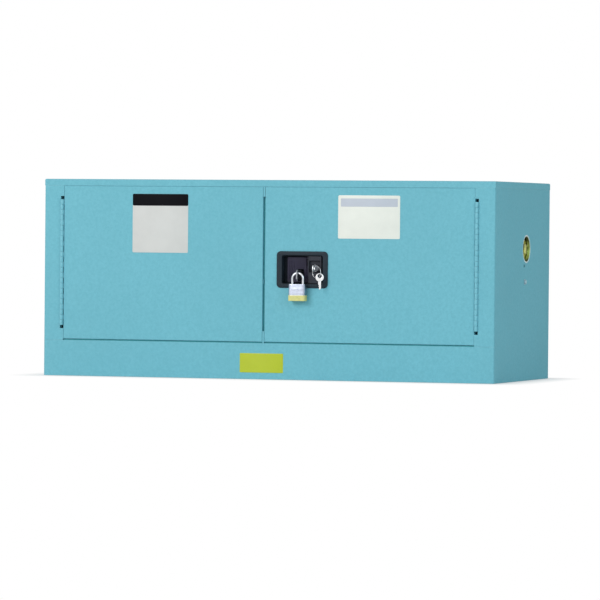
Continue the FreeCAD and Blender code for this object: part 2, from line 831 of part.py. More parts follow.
def strike():
    """The plate on the left door's edge that the centre bolt enters, with a tongue in the gap."""
    plate = Piece("centre_strike")
    edge = mm.left_meeting_edge
    half_height = 19
    front, back = FRONT + 12, DOOR_BACK - 2
    body = rectangle(front, back, BOLT_Z - half_height, BOLT_Z + half_height)
    plate.pad("X", edge, edge + mm.steel, body, bolt_slot())
    tongue_reach = 2.2
    tongue_half = 5
    tongue = [
        (edge, FRONT + 0.6),
        (edge + tongue_reach, FRONT + 5.4),
        (edge + tongue_reach, SKIN_BACK),
        (edge + mm.steel, front + PLAY),
        (edge, front + PLAY),
    ]
    plate.pad("Z", BOLT_Z - tongue_half, BOLT_Z + tongue_half, tongue)


def latch():
    """A three-armed cam behind the dish draws the top rod, the bottom rod and the centre bolt."""
    back_wall = DOOR_BACK - mm.steel
    pivot = Piece("cam_pivot")
    pivot_radius = 3
    pivot.pad("Y", CAM_Y - 1, back_wall, disc(mm.cam_x, mm.cam_z, pivot_radius))

    cam = Piece("latch_cam")
    hub = 8
    thick = 2
    link = 3
    cam.pad("Y", CAM_Y, CAM_Y + thick, flats(mm.cam_x, mm.cam_z, hub, 12))
    half_turn = float(HALF_TURN)
    pins = {
        "top": (180 - half_turn, LINK_Y + link),
        "bottom": (-half_turn, LINK_Y + link),
        "bolt": (270 - half_turn, BOLT_Y + BOLT_THICK),
    }
    width = 4
    for angle, pin_end in pins.values():
        across, level = direction(angle)
        tip_x = mm.cam_x + mm.cam_reach * across
        tip_z = mm.cam_z + mm.cam_reach * level
        side_x, side_z = -level * width, across * width
        end_x, end_z = tip_x + across * width, tip_z + level * width
        arm = [
            (mm.cam_x + side_x, mm.cam_z + side_z),
            (mm.cam_x - side_x, mm.cam_z - side_z),
            (tip_x - side_x, tip_z - side_z),
            (end_x - side_x / 2, end_z - side_z / 2),
            (end_x + side_x / 2, end_z + side_z / 2),
            (tip_x + side_x, tip_z + side_z),
        ]
        cam.pad("Y", CAM_Y, CAM_Y + thick, arm)
        pin = corners_on(tip_x, tip_z, mm.cam_pin_radius, 12)
        cam.pad("Y", CAM_Y + thick, pin_end, pin)
    ear_angle = 75
    across, level = direction(ear_angle)
    ear_width = 1.5
    ear_start = 5
    ear = []
    for reach, way in (
        (ear_start, 1),
        (ear_start, -1),
        (mm.cam_reach, -1),
        (mm.cam_reach, 1),
    ):
        ear.append(
            (
                mm.cam_x + reach * across - way * level * ear_width,
                mm.cam_z + reach * level + way * across * ear_width,
            )
        )
    cam.pad("Y", CAM_Y, CAM_Y + thick, ear)
    pivot_hole = disc(mm.cam_x, mm.cam_z, pivot_radius + mm.running_gap)
    cam.cut("Y", CAM_Y - OVER, CAM_Y + thick + OVER, pivot_hole)

    nose = 3
    rod_flats = 16
    for name, rod_x, way in (("top_rod", TOP_ROD_X, 1), ("bottom_rod", BOTTOM_ROD_X, -1)):
        rod = Piece(name)
        pin_z = mm.cam_z + way * PIN_LEVEL
        link_end = pin_z + way * 22
        door_edge = mm.box_top if way > 0 else mm.box_bottom
        tip = door_edge + way * (ROD_THROW - 0.25)
        low, high = sorted((pin_z - way * 7, link_end + way * 6), key=float)
        rod.pad("Y", LINK_Y, LINK_Y + link, rectangle(rod_x - 5, rod_x + 5, low, high))
        slot = rectangle(rod_x - 4, rod_x + 4, pin_z - ROD_PIN_SLOT, pin_z + ROD_PIN_SLOT)
        rod.cut("Y", LINK_Y - OVER, LINK_Y + link + OVER, slot)
        for start, end, radius in (
            (link_end, tip - way * nose, mm.rod_radius),
            (tip - way * nose, tip, mm.rod_radius - 1),
        ):
            low, high = sorted((start, end), key=float)
            rod.pad("Z", low, high, corners_on(rod_x, ROD_Y, radius, rod_flats))

    bolt = Piece("centre_bolt")
    across, level = direction(270 - half_turn)
    pin_x = mm.cam_x + mm.cam_reach * across
    pin_z = mm.cam_z + mm.cam_reach * level
    low = mm.right_meeting_edge - ROD_THROW + 0.75
    high = pin_x + 5.5
    outline = rectangle(low, high, BOLT_Z - BOLT_HALF, BOLT_Z + BOLT_HALF)
    bolt.pad("Y", BOLT_Y, BOLT_Y + BOLT_THICK, outline)
    slot_half = 4.6
    slot = rectangle(
        pin_x - ROD_PIN_SLOT, pin_x + ROD_PIN_SLOT, BOLT_Z - slot_half, BOLT_Z + slot_half
    )
    bolt.cut("Y", BOLT_Y - OVER, BOLT_Y + BOLT_THICK + OVER, slot)
    bolt.bevel(2, "Z", x=low, y=BOLT_Y)

    guides = Piece("rod_guides")
    guide = 2
    flange = 14
    half_width = 14
    guide_front = FRONT + 18
    top_level, bottom_level = 385, 145
    hole = mm.rod_radius + mm.running_gap
    for rod_x, level in ((TOP_ROD_X, top_level), (BOTTOM_ROD_X, bottom_level)):
        left, right = rod_x - half_width, rod_x + half_width
        around = rectangle(left, right, guide_front, back_wall)
        guides.pad("Z", level, level + guide, around, square(rod_x, ROD_Y, hole))
        behind = rectangle(left, right, back_wall - guide, back_wall)
        guides.pad("Z", level + guide, level + guide + flange, behind)


def direction(angle):
    """Across and up for an angle in degrees, counted from +X towards +Z."""
    return math.cos(math.radians(angle)), math.sin(math.radians(angle))


def handle():
    """The moulded dish let into the right door, the paddle on its pin, and the padlock's staple."""
    dish = Piece("handle_dish")
    rim = rectangle(mm.dish_left, mm.dish_right, mm.dish_bottom, mm.dish_top)
    face = FRONT - mm.dish_proud
    dish.pad("Y", face, FRONT, rim)
    dish.round(9.5, "Y")
    left, right = BOX_LEFT, BOX_RIGHT
    bottom, top = BOX_LOW, BOX_HIGH
    floor = DISH_FLOOR
    dish.pad("Y", FRONT, floor + mm.dish_wall, rectangle(left, right, bottom, top))
    wall = mm.dish_wall
    recess = rectangle(left + wall, right - wall, bottom + wall, top - wall)
    dish.cut("Y", face, floor, recess)
    dish.round(4, "Y", x=(left + wall, right - wall), y=(face + floor) / 2)
    dish.bevel(1.5, "X", y=face, z=(mm.dish_bottom, mm.dish_top))
    dish.cut(
        "Y",
        floor - OVER,
        floor + wall + OVER,
        rectangle(PIVOT_X - 7.5, PIVOT_X + 4, HEEL_LOW - 1.5, HEEL_HIGH + 1.5),
        disc(mm.lock_x, mm.lock_z, mm.barrel_radius),
    )
    pin_hole = flats(PIVOT_X, PIVOT_Y, mm.paddle_pin_radius, 12)
    dish.cut("Z", bottom - OVER, top + OVER, pin_hole)

    pin = Piece("paddle_pin")
    pin.pad("Z", bottom, top, disc(PIVOT_X, PIVOT_Y, mm.paddle_pin_radius))

    paddle = Piece("paddle")
    end_gap = 5
    plate_left, plate_right = left + 11, PIVOT_X + PLAY
    plate_low, plate_high = bottom + end_gap, top - end_gap
    front, back = FRONT + 10, FRONT + 13
    coil_low, coil_high = SPRING_LOW - PLAY, SPRING_HIGH + PLAY
    outline = rectangle(plate_left, plate_right, plate_low, plate_high)
    paddle.pad("Y", front, back, outline)
    paddle.round(4, "Y", x=plate_left)
    paddle.bevel(1, "Z", x=plate_left, y=front)
    boss = mm.paddle_pin_radius + 1.5
    for low, high in ((plate_low, coil_low), (coil_high, plate_high)):
        paddle.pad("Z", low, high, flats(PIVOT_X, PIVOT_Y, boss, 12))
    heel_half = 2
    heel = rectangle(PIVOT_X - heel_half, PIVOT_X + heel_half, HEEL_LOW, HEEL_HIGH)
    paddle.pad("Y", PIVOT_Y, CAM_Y + 2, heel)
    web = rectangle(PIVOT_X - boss, PIVOT_X + PLAY, plate_low, coil_low)
    paddle.pad("Y", back, PIVOT_Y, web)
    slot = rectangle(mm.padlock_x - 9, mm.padlock_x + 7, mm.crown_z - 18.4, mm.crown_z + 9.1)
    paddle.cut("Y", front - OVER, back + OVER, slot)
    paddle.round(3, "Y", x=(slot[0][0], slot[1][0]), z=(slot[0][1], slot[2][1]))
    coil_inner = mm.paddle_pin_radius + 0.3
    coil_outer = coil_inner + 0.9
    coil_room = rectangle(PIVOT_X - 4, PIVOT_X + 1, coil_low, coil_high)
    paddle.cut("Y", PIVOT_Y - coil_outer - 0.2, back + OVER, coil_room)
    ribs = []
    rib_margin = 8
    for step in range(3):
        low = plate_left + 4 + 5 * step
        ribs.append(rectangle(low, low + 1.6, plate_low + rib_margin, plate_high - rib_margin))
    paddle.pad("Y", front - 0.8, front, *ribs)
    bore = disc(PIVOT_X, PIVOT_Y, mm.paddle_pin_radius + mm.running_gap)
    paddle.cut("Z", plate_low - OVER, plate_high + OVER, bore)

    spring = Piece("paddle_spring")
    spring.pad(
        "Z",
        SPRING_LOW,
        SPRING_HIGH,
        flats(PIVOT_X, PIVOT_Y, coil_outer, 12),
        flats(PIVOT_X, PIVOT_Y, coil_inner, 12),
    )
    spring.pad(
        "Y",
        PIVOT_Y + 1,
        floor,
        rectangle(PIVOT_X + coil_inner, PIVOT_X + coil_outer, SPRING_HIGH - 1, SPRING_HIGH),
    )

    staple = Piece("padlock_staple")
    eye_y = FRONT + mm.padlock_depth
    nose_y = eye_y - 8.5
    half_thick = 1.5
    rise, fall = 7.5, 18
    upper_cut, lower_cut = 4, 5
    outline = [
        (nose_y, mm.crown_z - fall + lower_cut),
        (nose_y + lower_cut, mm.crown_z - fall),
        (floor, mm.crown_z - fall),
        (floor, mm.crown_z + rise),
        (nose_y + upper_cut, mm.crown_z + rise),
        (nose_y, mm.crown_z + rise - upper_cut),
    ]
    staple.pad(
        "X",
        mm.padlock_x - half_thick,
        mm.padlock_x + half_thick,
        outline,
        disc(eye_y, mm.crown_z, mm.wire_radius + 1),
    )


def lock():
    """The lock's block, barrel, plug and key, with a second key on the ring."""
    block = Piece("lock_housing")
    face = FRONT - 1
    left, right = mm.lock_x - 17, mm.lock_x + 15
    end_gap = 11.2
    low, high = mm.dish_bottom + end_gap, mm.dish_top - end_gap
    block.pad("Y", face, DISH_FLOOR, rectangle(left, right, low, high))
    border = 2.5
    pocket_floor = FRONT + 6
    pocket = rectangle(left + border, right - border, mm.lock_z - 10, mm.lock_z + 17.5)
    block.cut("Y", face, pocket_floor, pocket)
    block.bevel(1, "Z", y=face, x=(left, right))
    barrel_hole = disc(mm.lock_x, mm.lock_z, mm.barrel_radius)
    block.cut("Y", pocket_floor - OVER, DISH_FLOOR + OVER, barrel_hole)

    centre = (mm.lock_x, mm.lock_z)
    bore = mm.plug_radius + mm.running_gap
    barrel = Piece("lock_barrel")
    outside = corners_on(*centre, mm.barrel_radius, 24)
    barrel.pad("Y", FRONT + 1.5, FRONT + 30, outside, disc(*centre, bore))
    plug = Piece("lock_plug")
    plug_face, plug_back = FRONT + 1, FRONT + 31
    plug.pad("Y", plug_face, plug_back, disc(*centre, mm.plug_radius))
    tail = Piece("lock_tailpiece")
    tail_half = 4
    tail.pad(
        "Y",
        plug_back,
        plug_back + 2,
        rectangle(mm.lock_x - tail_half, mm.lock_x + tail_half, mm.lock_z - 5, mm.lock_z + 19),
    )

    key = Piece("lock_key")
    thick = 0.9
    bow_y = FRONT - 10.5
    bow = 8.5
    low, high = mm.lock_x - thick, mm.lock_x + thick
    key.pad("X", low, high, flats(bow_y, mm.lock_z, bow, 24), disc(bow_y, mm.lock_z, KEY_HOLE))
    half = 3.2
    shank = rectangle(bow_y + 7, plug_face, mm.lock_z - half, mm.lock_z + half)
    key.pad("X", low, high, shank)

    ring = Piece("key_ring")
    wire = 0.7
    around, within = mm.key_ring_radius + wire, mm.key_ring_radius - wire
    ring.pad("Z", -wire, wire, flats(0, 0, around, 24), flats(0, 0, within, 24))
    top = FreeCAD.Vector(float(mm.lock_x), float(bow_y), float(mm.lock_z))
    lean = math.radians(RING_LEAN)
    drop = FreeCAD.Vector(
        math.cos(lean) * math.cos(math.radians(RING_YAW)),
        -math.cos(lean) * math.sin(math.radians(RING_YAW)),
        -math.sin(lean),
    )
    level = FreeCAD.Vector(
        math.cos(math.radians(RING_YAW)), -math.sin(math.radians(RING_YAW)), 0
    )
    normal = level.cross(UNIT["Z"])
    radius = float(mm.key_ring_radius)
    ring.body.Placement = FreeCAD.Placement(
        top + drop * radius, FreeCAD.Rotation(UNIT["Z"], normal)
    )

    spare = Piece("spare_key")
    bow_drop = 3
    spare_bow = 9.3
    spare.pad("Y", -thick, thick, flats(0, -bow_drop, spare_bow, 24), disc(0, 0, KEY_HOLE))
    teeth = [(half, -11), (half, -28), (0, -31), (-1.5, -29.5), (-1.5, -27), (-0.4, -25.5)]
    teeth += [(-2.2, -23.5), (-1, -21.5), (-half, -19), (-half, -11)]
    spare.pad("Y", -thick, thick, teeth)
    slack = UNIT["Z"] * 0.9
    spare.body.Placement = FreeCAD.Placement(
        top + drop * (2 * radius) + slack, FreeCAD.Rotation(UNIT["Z"], SPARE_KEY_YAW)
    )


def padlock():
    """A padlock: shackle, a stack of plates, a rubber bumper round the foot, and its cylinder."""
    plane = FRONT + mm.padlock_depth
    spread = mm.shackle_spread
    wire = mm.wire_radius
    shoulder = mm.crown_z - spread
    shackle = Piece("padlock_shackle")
    x = mm.padlock_x
    bar = corners_on(x - spread, plane, wire, 8)
    shackle.pad("Z", mm.padlock_top - 10, shoulder, bar)
    bar = [(u + 2 * spread, v) for u, v in bar]
    shackle.pad("Z", mm.padlock_bottom + 8, shoulder, bar)
    drawn = shackle.sketch("Z", (x, 0, shoulder), [[(u - x, v) for u, v in bar]])
    bend = shackle.add("PartDesign::Revolution", "bend")
    bend.Profile = drawn
    bend.ReferenceAxis = (drawn, ["V_Axis"])
    bend.Angle = 180
    bend.Reversed = True
    shackle.settle(bend)

    half, deep = mm.padlock_width / 2, mm.padlock_thickness / 2
    barrel = corners_on(x - 6, plane, 6.5, 16)
    barrel_depth = 6
    low = mm.padlock_bottom + 2
    band_top = mm.padlock_bottom + 13
    bores = [
        disc(x + spread, plane, wire + mm.running_gap),
        disc(x - spread, plane, wire + mm.running_gap),
    ]
    plates = Piece("padlock_plates")
    corner = 4
    outline = cut_corners(x - half, x + half, plane - deep, plane + deep, corner)
    inset = 0.5
    core = cut_corners(
        x - half + inset, x + half - inset, plane - deep + inset, plane + deep - inset, corner
    )
    around = rectangle(x - half - 1, x + half + 1, plane - deep - 1, plane + deep + 1)
    plates.pad("Z", low, mm.padlock_top, outline)
    courses = 6
    groove = 0.4
    course = (mm.padlock_top - band_top) / courses
    cut = plates.cut("Z", band_top, band_top + groove, around, core)
    plates.row([cut], "Z", course, courses)
    plates.cut("Z", mm.padlock_bottom + 7.5, mm.padlock_top + OVER, bores[0])
    plates.cut("Z", mm.padlock_top - 12, mm.padlock_top + OVER, bores[1])
    plates.cut("Z", low - OVER, low + barrel_depth, barrel)

    bumper = Piece("padlock_bumper")
    rubber = 0.7
    half_out, deep_out = half + rubber, deep + rubber
    bumper.pad(
        "Z",
        mm.padlock_bottom,
        band_top,
        cut_corners(x - half_out, x + half_out, plane - deep_out, plane + deep_out, corner),
    )
    bumper.cut("Z", low, band_top + OVER, outline)
    window = rectangle(x - half + 3, x + half - 3, plane - deep + 2, plane + deep - 2)
    bumper.cut("Z", mm.padlock_bottom - OVER, low + OVER, window)

    cylinder = Piece("padlock_cylinder")
    foot = mm.padlock_bottom + 0.5
    cylinder.pad("Z", foot, low + barrel_depth, barrel)
    keyway = rectangle(x - 6 - 0.8, x - 6 + 0.8, plane - 4, plane + 4)
    cylinder.cut("Z", mm.padlock_bottom, mm.padlock_bottom + 4, keyway)


def check_and_write():
    """Stop at a failed feature or a bad shape, then write every sub-part."""
    doc.recompute()
    for thing in doc.Objects:
        if "Invalid" in thing.State or "Error" in thing.State:
            raise RuntimeError(f"{thing.Name} failed: {thing.State}")
    for part in sub_parts:
        if part.Shape.isNull() or not part.Shape.isValid():
            raise RuntimeError(f"{part.Label} has a bad shape")
        if not part.Shape.Solids:
            raise RuntimeError(f"{part.Label} has no solid")
    os.makedirs("parts", exist_ok=True)
    for part in sub_parts:
        part.Shape.exportStep(f"parts/{part.Label}.step")
        print(f"{part.Label}: {len(part.Shape.Solids)} solids, {part.Shape.Volume:.0f} mm3")


outer_panels()
face_frame()
liner_panels()
vents()
screws()
interior()
doors()
hinges()
strike()
latch()
handle()
lock()
padlock()
check_and_write()
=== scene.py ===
"""Looks of the corrosive storage cabinet: finishes for the CAD nodes, and fuller small pieces."""
import json
import math

import bmesh
import bpy
from mathutils import Matrix, Vector
from mathutils.geometry import tessellate_polygon

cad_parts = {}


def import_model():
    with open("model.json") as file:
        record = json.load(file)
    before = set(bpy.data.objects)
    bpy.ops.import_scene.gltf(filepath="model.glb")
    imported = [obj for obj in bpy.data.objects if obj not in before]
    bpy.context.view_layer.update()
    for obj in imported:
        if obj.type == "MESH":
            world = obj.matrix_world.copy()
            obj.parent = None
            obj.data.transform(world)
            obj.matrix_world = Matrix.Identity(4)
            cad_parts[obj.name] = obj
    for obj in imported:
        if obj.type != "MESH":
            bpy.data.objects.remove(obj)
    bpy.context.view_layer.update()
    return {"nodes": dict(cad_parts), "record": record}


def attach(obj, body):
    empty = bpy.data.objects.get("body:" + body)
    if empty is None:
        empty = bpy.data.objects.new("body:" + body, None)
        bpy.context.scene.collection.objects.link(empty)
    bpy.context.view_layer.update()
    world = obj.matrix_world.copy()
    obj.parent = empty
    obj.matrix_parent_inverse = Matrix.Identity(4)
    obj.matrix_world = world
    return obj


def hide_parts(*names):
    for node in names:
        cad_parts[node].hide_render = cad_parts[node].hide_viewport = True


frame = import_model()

MM = 0.001

# planes and places, in millimetres, as in the CAD source
FRONT = -228.6
SIDE = 546.1
BACK_OF_DOOR = FRONT + 38
SILL_TOP, DOOR_BOTTOM = 82.5, 85.5
DOOR_TOP, RAIL_BOTTOM = 441.6, 442.0
DOOR_EDGE = 498.3
LEFT_MEETING_EDGE, RIGHT_MEETING_EDGE = -8.5, -3.5
HINGE_X, HINGE_Y = 502.8, -229.6
HINGE_BOTTOM, HINGE_LENGTH = 117.4, 292.4
PIN_X, PIN_Y = 96.5, FRONT + 14
CAM_X, CAM_Z = 88.0, 239.4
STRIKE_Z = 224.0
LOCK_X, LOCK_Z = 118.5, 256.0
PADLOCK_X, PADLOCK_Y = 81.0, FRONT - 13
PADLOCK_LOW, PADLOCK_TOP = 181.0, 219.4
CROWN_Z = 244.5
VENT_Y, LEFT_VENT_Z, RIGHT_VENT_Z = 31.0, 153.0, 304.0


# ---- meshes -------------------------------------------------------------------------------------

def along_x(u, v, w):
    return (w, u, v)


def along_y(u, v, w):
    return (u, w, v)


def along_z(u, v, w):
    return (u, v, w)


def circle(u, v, radius, count=48, start=0.0):
    """Points of a circle, anticlockwise."""
    turns = [start + math.tau * step / count for step in range(count)]
    return [(u + radius * math.cos(turn), v + radius * math.sin(turn)) for turn in turns]


def rounded(u_low, u_high, v_low, v_high, radius, steps=7):
    """Points of a rectangle with round corners, anticlockwise."""
    points = []
    corners = (
        (u_high - radius, v_low + radius, -90),
        (u_high - radius, v_high - radius, 0),
        (u_low + radius, v_high - radius, 90),
        (u_low + radius, v_low + radius, 180),
    )
    for u, v, first in corners:
        for step in range(steps + 1):
            turn = math.radians(first + 90 * step / steps)
            points.append((u + radius * math.cos(turn), v + radius * math.sin(turn)))
    return points


def inset(loop, distance):
    """The loop moved inwards, or outwards by a negative distance."""
    moved = []
    for before, here, after in zip(loop[-1:] + loop[:-1], loop, loop[1:] + loop[:1]):
        one = Vector(here) - Vector(before)
        two = Vector(after) - Vector(here)
        one.normalize()
        two.normalize()
        first, second = Vector((-one.y, one.x)), Vector((-two.y, two.x))
        middle = first + second
        if middle.length < 1e-6:
            middle = first
        middle.normalize()
        reach = distance / max(middle.dot(first), 0.4)
        moved.append((here[0] + middle.x * reach, here[1] + middle.y * reach))
    return moved


def mirrored(profile, side):
    """A turned profile on the right side, or mirrored to the left one by a side of -1."""
    return [(side * level, radius) for level, radius in profile]


class Form:
    """Points and faces of one piece, in millimetres."""

    def __init__(self):
        self.points = []
        self.faces = []

    def ring(self, points):
        """Add points and return their numbers."""
        start = len(self.points)
        self.points.extend(points)
        return list(range(start, start + len(points)))

    def skin(self, rings, closed=False):
        """Quads between neighbouring rings of one length."""
        pairs = list(zip(rings, rings[1:]))
        if closed:
            pairs.append((rings[-1], rings[0]))
        for one, two in pairs:
            count = len(one)
            for step in range(count):
                following = (step + 1) % count
                self.faces.append((one[step], one[following], two[following], two[step]))

    def cap(self, loops):
        """A flat face with holes over rings of points."""
        flat = [[Vector(self.points[index]) for index in loop] for loop in loops]
        joined = [index for loop in loops for index in loop]
        for triangle in tessellate_polygon(flat):
            self.faces.append(tuple(joined[corner] for corner in triangle))

    def prism(self, outer, low, high, place, holes=(), soft=0.0, hole_soft=0.0, steps=3):
        """A plate with holes, its rims rounded by soft at both faces."""
        ends = ([], [])
        for loop, radius, way in [(outer, soft, 1)] + [(hole, hole_soft, -1) for hole in holes]:
            profile = [(0.0, 0.0)]
            if radius > 0:
                turns = [math.radians(90 * step / steps) for step in range(steps + 1)]
                profile = [
                    (radius * (1 - math.sin(turn)), radius * (1 - math.cos(turn)))
                    for turn in turns
                ]
            rims = [(off, low + rise) for off, rise in profile]
            rims += [(off, high - rise) for off, rise in reversed(profile)]
            rings = []
            for off, level in rims:
                shape = inset(loop, off * way) if off > 0 else loop
                rings.append(self.ring([place(u, v, level) for u, v in shape]))
            self.skin(rings)
            ends[0].append(rings[0])
            ends[1].append(rings[-1])
        for loops in ends:
            self.cap(loops)

    def lathe(self, profile, u, v, place, steps=64, closed=True):
        """A turned form: profile points are (level along the axis, radius)."""
        rings = [
            self.ring([place(a, b, level) for a, b in circle(u, v, radius, steps)])
            for level, radius in profile
        ]
        self.skin(rings, closed)
        if not closed:
            self.cap([rings[0]])
            self.cap([rings[-1]])

    def tube(self, path, radius, reference, steps=20, loop=False):
        """A round bar along a path; the reference is square to the path's plane."""
        path = [Vector(point) for point in path]
        reference = Vector(reference).normalized()
        rings = []
        for index, point in enumerate(path):
            if loop:
                way = path[(index + 1) % len(path)] - path[index - 1]
            else:
                way = path[min(index + 1, len(path) - 1)] - path[max(index - 1, 0)]
            side = way.normalized().cross(reference).normalized()
            up = side.cross(way).normalized()
            reach = radius[index] if isinstance(radius, list) else radius
            rings.append(
                self.ring(
                    [
                        tuple(point + side * (reach * math.cos(a)) + up * (reach * math.sin(a)))
                        for a in [math.tau * step / steps for step in range(steps)]
                    ]
                )
            )
        self.skin(rings, loop)
        if not loop:
            self.cap([rings[0]])
            self.cap([rings[-1]])

    def move(self, matrix):
        """Move all the points by a matrix."""
        self.points = [tuple(matrix @ Vector(point)) for point in self.points]


def piece(name, form, body, finish, stands_for=(), sharp=32):
    """Make the object of a form, in metres, riding on its body."""
    mesh = bpy.data.meshes.new(name)
    mesh.from_pydata([tuple(c * MM for c in point) for point in form.points], [], form.faces)
    shaped = bmesh.new()
    shaped.from_mesh(mesh)
    bmesh.ops.remove_doubles(shaped, verts=shaped.verts, dist=1e-6)
    bmesh.ops.dissolve_degenerate(shaped, edges=shaped.edges, dist=1e-7)
    bmesh.ops.recalc_face_normals(shaped, faces=shaped.faces)
    limit = math.radians(sharp)
    for face in shaped.faces:
        face.smooth = True
    for edge in shaped.edges:
        if len(edge.link_faces) == 2:
            edge.smooth = edge.calc_face_angle(0) < limit
    shaped.to_mesh(mesh)
    shaped.free()
    made = bpy.data.objects.new(name, mesh)
    bpy.context.collection.objects.link(made)
    mesh.materials.append(finish)
    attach(made, body)
    if stands_for:
        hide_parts(*stands_for)
    return made


# ---- finishes -----------------------------------------------------------------------------------

class Finish:
    """A material built from nodes on the object's own coordinates."""

    def __init__(self, name):
        self.material = bpy.data.materials.new(name)
        self.material.use_nodes = True
        self.tree = self.material.node_tree
        self.tree.nodes.clear()
        output = self.tree.nodes.new("ShaderNodeOutputMaterial")
        self.shader = self.tree.nodes.new("ShaderNodeBsdfPrincipled")
        self.tree.links.new(self.shader.outputs[0], output.inputs[0])
        self.place = self.tree.nodes.new("ShaderNodeTexCoord").outputs["Object"]

    def feed(self, socket, value):
        """Link a socket to another, or set its value."""
        if isinstance(value, bpy.types.NodeSocket):
            self.tree.links.new(value, socket)
        else:
            socket.default_value = value

    def node(self, kind, outlet=0, settings=None, **inputs):
        """Add a node and return one of its outputs."""
        made = self.tree.nodes.new(kind)
        for name, value in (settings or {}).items():
            setattr(made, name, value)
        for name, value in inputs.items():
            self.feed(made.inputs[name.replace("_", " ")], value)
        return made.outputs[outlet]

    def stretched(self, scale):
        """The object's coordinates with another scale on each axis."""
        return self.node("ShaderNodeMapping", Vector=self.place, Scale=scale)

    def noise(self, scale, detail=2.0, rough=0.5, where=None, distortion=0.0):
        """Noise with features of about 1 / scale metres."""
        return self.node(
            "ShaderNodeTexNoise",
            Vector=where or self.place,
            Scale=scale,
            Detail=detail,
            Roughness=rough,
            Distortion=distortion,
        )

    def spread(self, value, low, high, to_low=0.0, to_high=1.0):
        """The range from low to high stretched to another range, and clamped."""
        made = self.tree.nodes.new("ShaderNodeMapRange")
        for socket, given in zip(made.inputs, (value, low, high, to_low, to_high)):
            self.feed(socket, given)
        return made.outputs[0]

    def calc(self, kind, *values):
        """The result of a Math node."""
        made = self.tree.nodes.new("ShaderNodeMath")
        made.operation = kind
        for socket, value in zip(made.inputs, values):
            self.feed(socket, value)
        return made.outputs[0]

    def times(self, value, factor):
        """The product of two values."""
        return self.calc("MULTIPLY", value, factor)

    def mix(self, factor, first, second):
        """A colour between two; each is a socket or a tuple."""
        made = self.tree.nodes.new("ShaderNodeMix")
        made.data_type = "RGBA"
        self.feed(made.inputs[0], factor)
        for colour_input, colour in ((6, first), (7, second)):
            value = (*colour, 1) if isinstance(colour, tuple) else colour
            self.feed(made.inputs[colour_input], value)
        return made.outputs[2]

    def rim(self, radius):
        """A rounded normal at the edges, and how near an edge a point is."""
        flat, bent = 0.985, 0.8
        soft = self.node("ShaderNodeBevel", settings={"samples": 6}, Radius=radius)
        true = self.node("ShaderNodeNewGeometry", outlet="Normal")
        meeting = self.tree.nodes.new("ShaderNodeVectorMath")
        meeting.operation = "DOT_PRODUCT"
        self.feed(meeting.inputs[0], soft)
        self.feed(meeting.inputs[1], true)
        return soft, self.spread(meeting.outputs["Value"], flat, bent)

    def vent_middle_unshaded(self, y, heights):
        """1 at the middle of a vent and 0 towards its wall, on either side of the case: where it
        is low, metal() paints the shade of the vent's recess.
        """
        parts = self.node("ShaderNodeSeparateXYZ", Vector=self.place).node.outputs
        across = self.calc("SUBTRACT", parts["Y"], y)
        reach = None
        for height in heights:
            up = self.calc("SUBTRACT", parts["Z"], height)
            square = self.calc("ADD", self.times(across, across), self.times(up, up))
            far = self.calc("SQRT", square)
            reach = far if reach is None else self.calc("MINIMUM", reach, far)
        ragged = self.spread(self.noise(70.0, 4.0, 0.6), 0.25, 0.75, -0.014, 0.014)
        return self.spread(self.calc("ADD", reach, ragged), 0.013, 0.027, 1.0, 0.0)

    def bump(self, height, strength, distance, normal=None):
        """The normal bent by a height, on top of another normal if one is given."""
        made = self.tree.nodes.new("ShaderNodeBump")
        made.inputs["Strength"].default_value = strength
        made.inputs["Distance"].default_value = distance
        self.feed(made.inputs["Height"], height)
        if normal is not None:
            self.feed(made.inputs["Normal"], normal)
        return made.outputs[0]

    def finish(self, colour, rough, normal, metal=0.0, **constants):
        """Set the shader's inputs and return the material."""
        self.feed(self.shader.inputs["Base Color"], colour)
        self.feed(self.shader.inputs["Roughness"], rough)
        self.feed(self.shader.inputs["Normal"], normal)
        self.shader.inputs["Metallic"].default_value = metal
        for name, value in constants.items():
            self.shader.inputs[name.replace("_", " ")].default_value = value
        return self.material


def tint(colour, factor):
    """A lighter or darker colour, none of its channels above 1."""
    return tuple(min(channel * factor, 1.0) for channel in colour)


def powder_coat(name, colour, wear_and_highlight_colour, peel=700.0, depth=0.00006, radius=0.0014, gloss=0.012):
    """Baked powder paint: faint blotches, orange peel, and smoother edges, lightened partly by
    wear and partly as a painted highlight.
    """
    made = Finish(name)
    cloud = made.spread(made.noise(3.2, 3.0, 0.55), 0.35, 0.65)
    mottle = made.spread(made.noise(46.0, 3.0, 0.6), 0.3, 0.7)
    speck = made.spread(made.noise(1500.0, 1.0, 0.5), 0.35, 0.65)
    tone = made.mix(cloud, tint(colour, 0.965), tint(colour, 1.035))
    tone = made.mix(made.times(mottle, 0.35), tone, tint(colour, 1.06))
    flow = made.spread(made.noise(150.0, 5.0, 0.85), 0.38, 0.62)
    shade = tuple(channel * part for channel, part in zip(colour, (0.74, 0.84, 0.855)))
    tone = made.mix(made.times(flow, 0.62), tone, shade)
    tone = made.mix(made.times(speck, 0.12), tone, tint(colour, 0.86))
    soft, edge = made.rim(radius)
    chips = made.spread(made.noise(90.0, 3.0, 0.6), 0.35, 0.6, 0.35, 1.0)
    # painted highlight on the rounded edges, broken up by wear: the edges lighten towards a paler
    # colour
    worn_and_highlit = made.times(edge, chips)
    tone = made.mix(made.times(worn_and_highlit, 0.5), tone, wear_and_highlight_colour)
    peel_height = made.noise(peel, 2.0, 0.45, distortion=0.3)
    wave = made.noise(14.0, 2.0, 0.5)
    normal = made.bump(peel_height, 0.45, depth, soft)
    normal = made.bump(wave, 0.06, 0.0012, normal)
    rough = made.spread(mottle, 0.0, 1.0, 0.42, 0.54)
    rough = made.calc("SUBTRACT", rough, made.times(edge, 0.06))
    return made.finish(tone, rough, normal, Specular_IOR_Level=gloss)


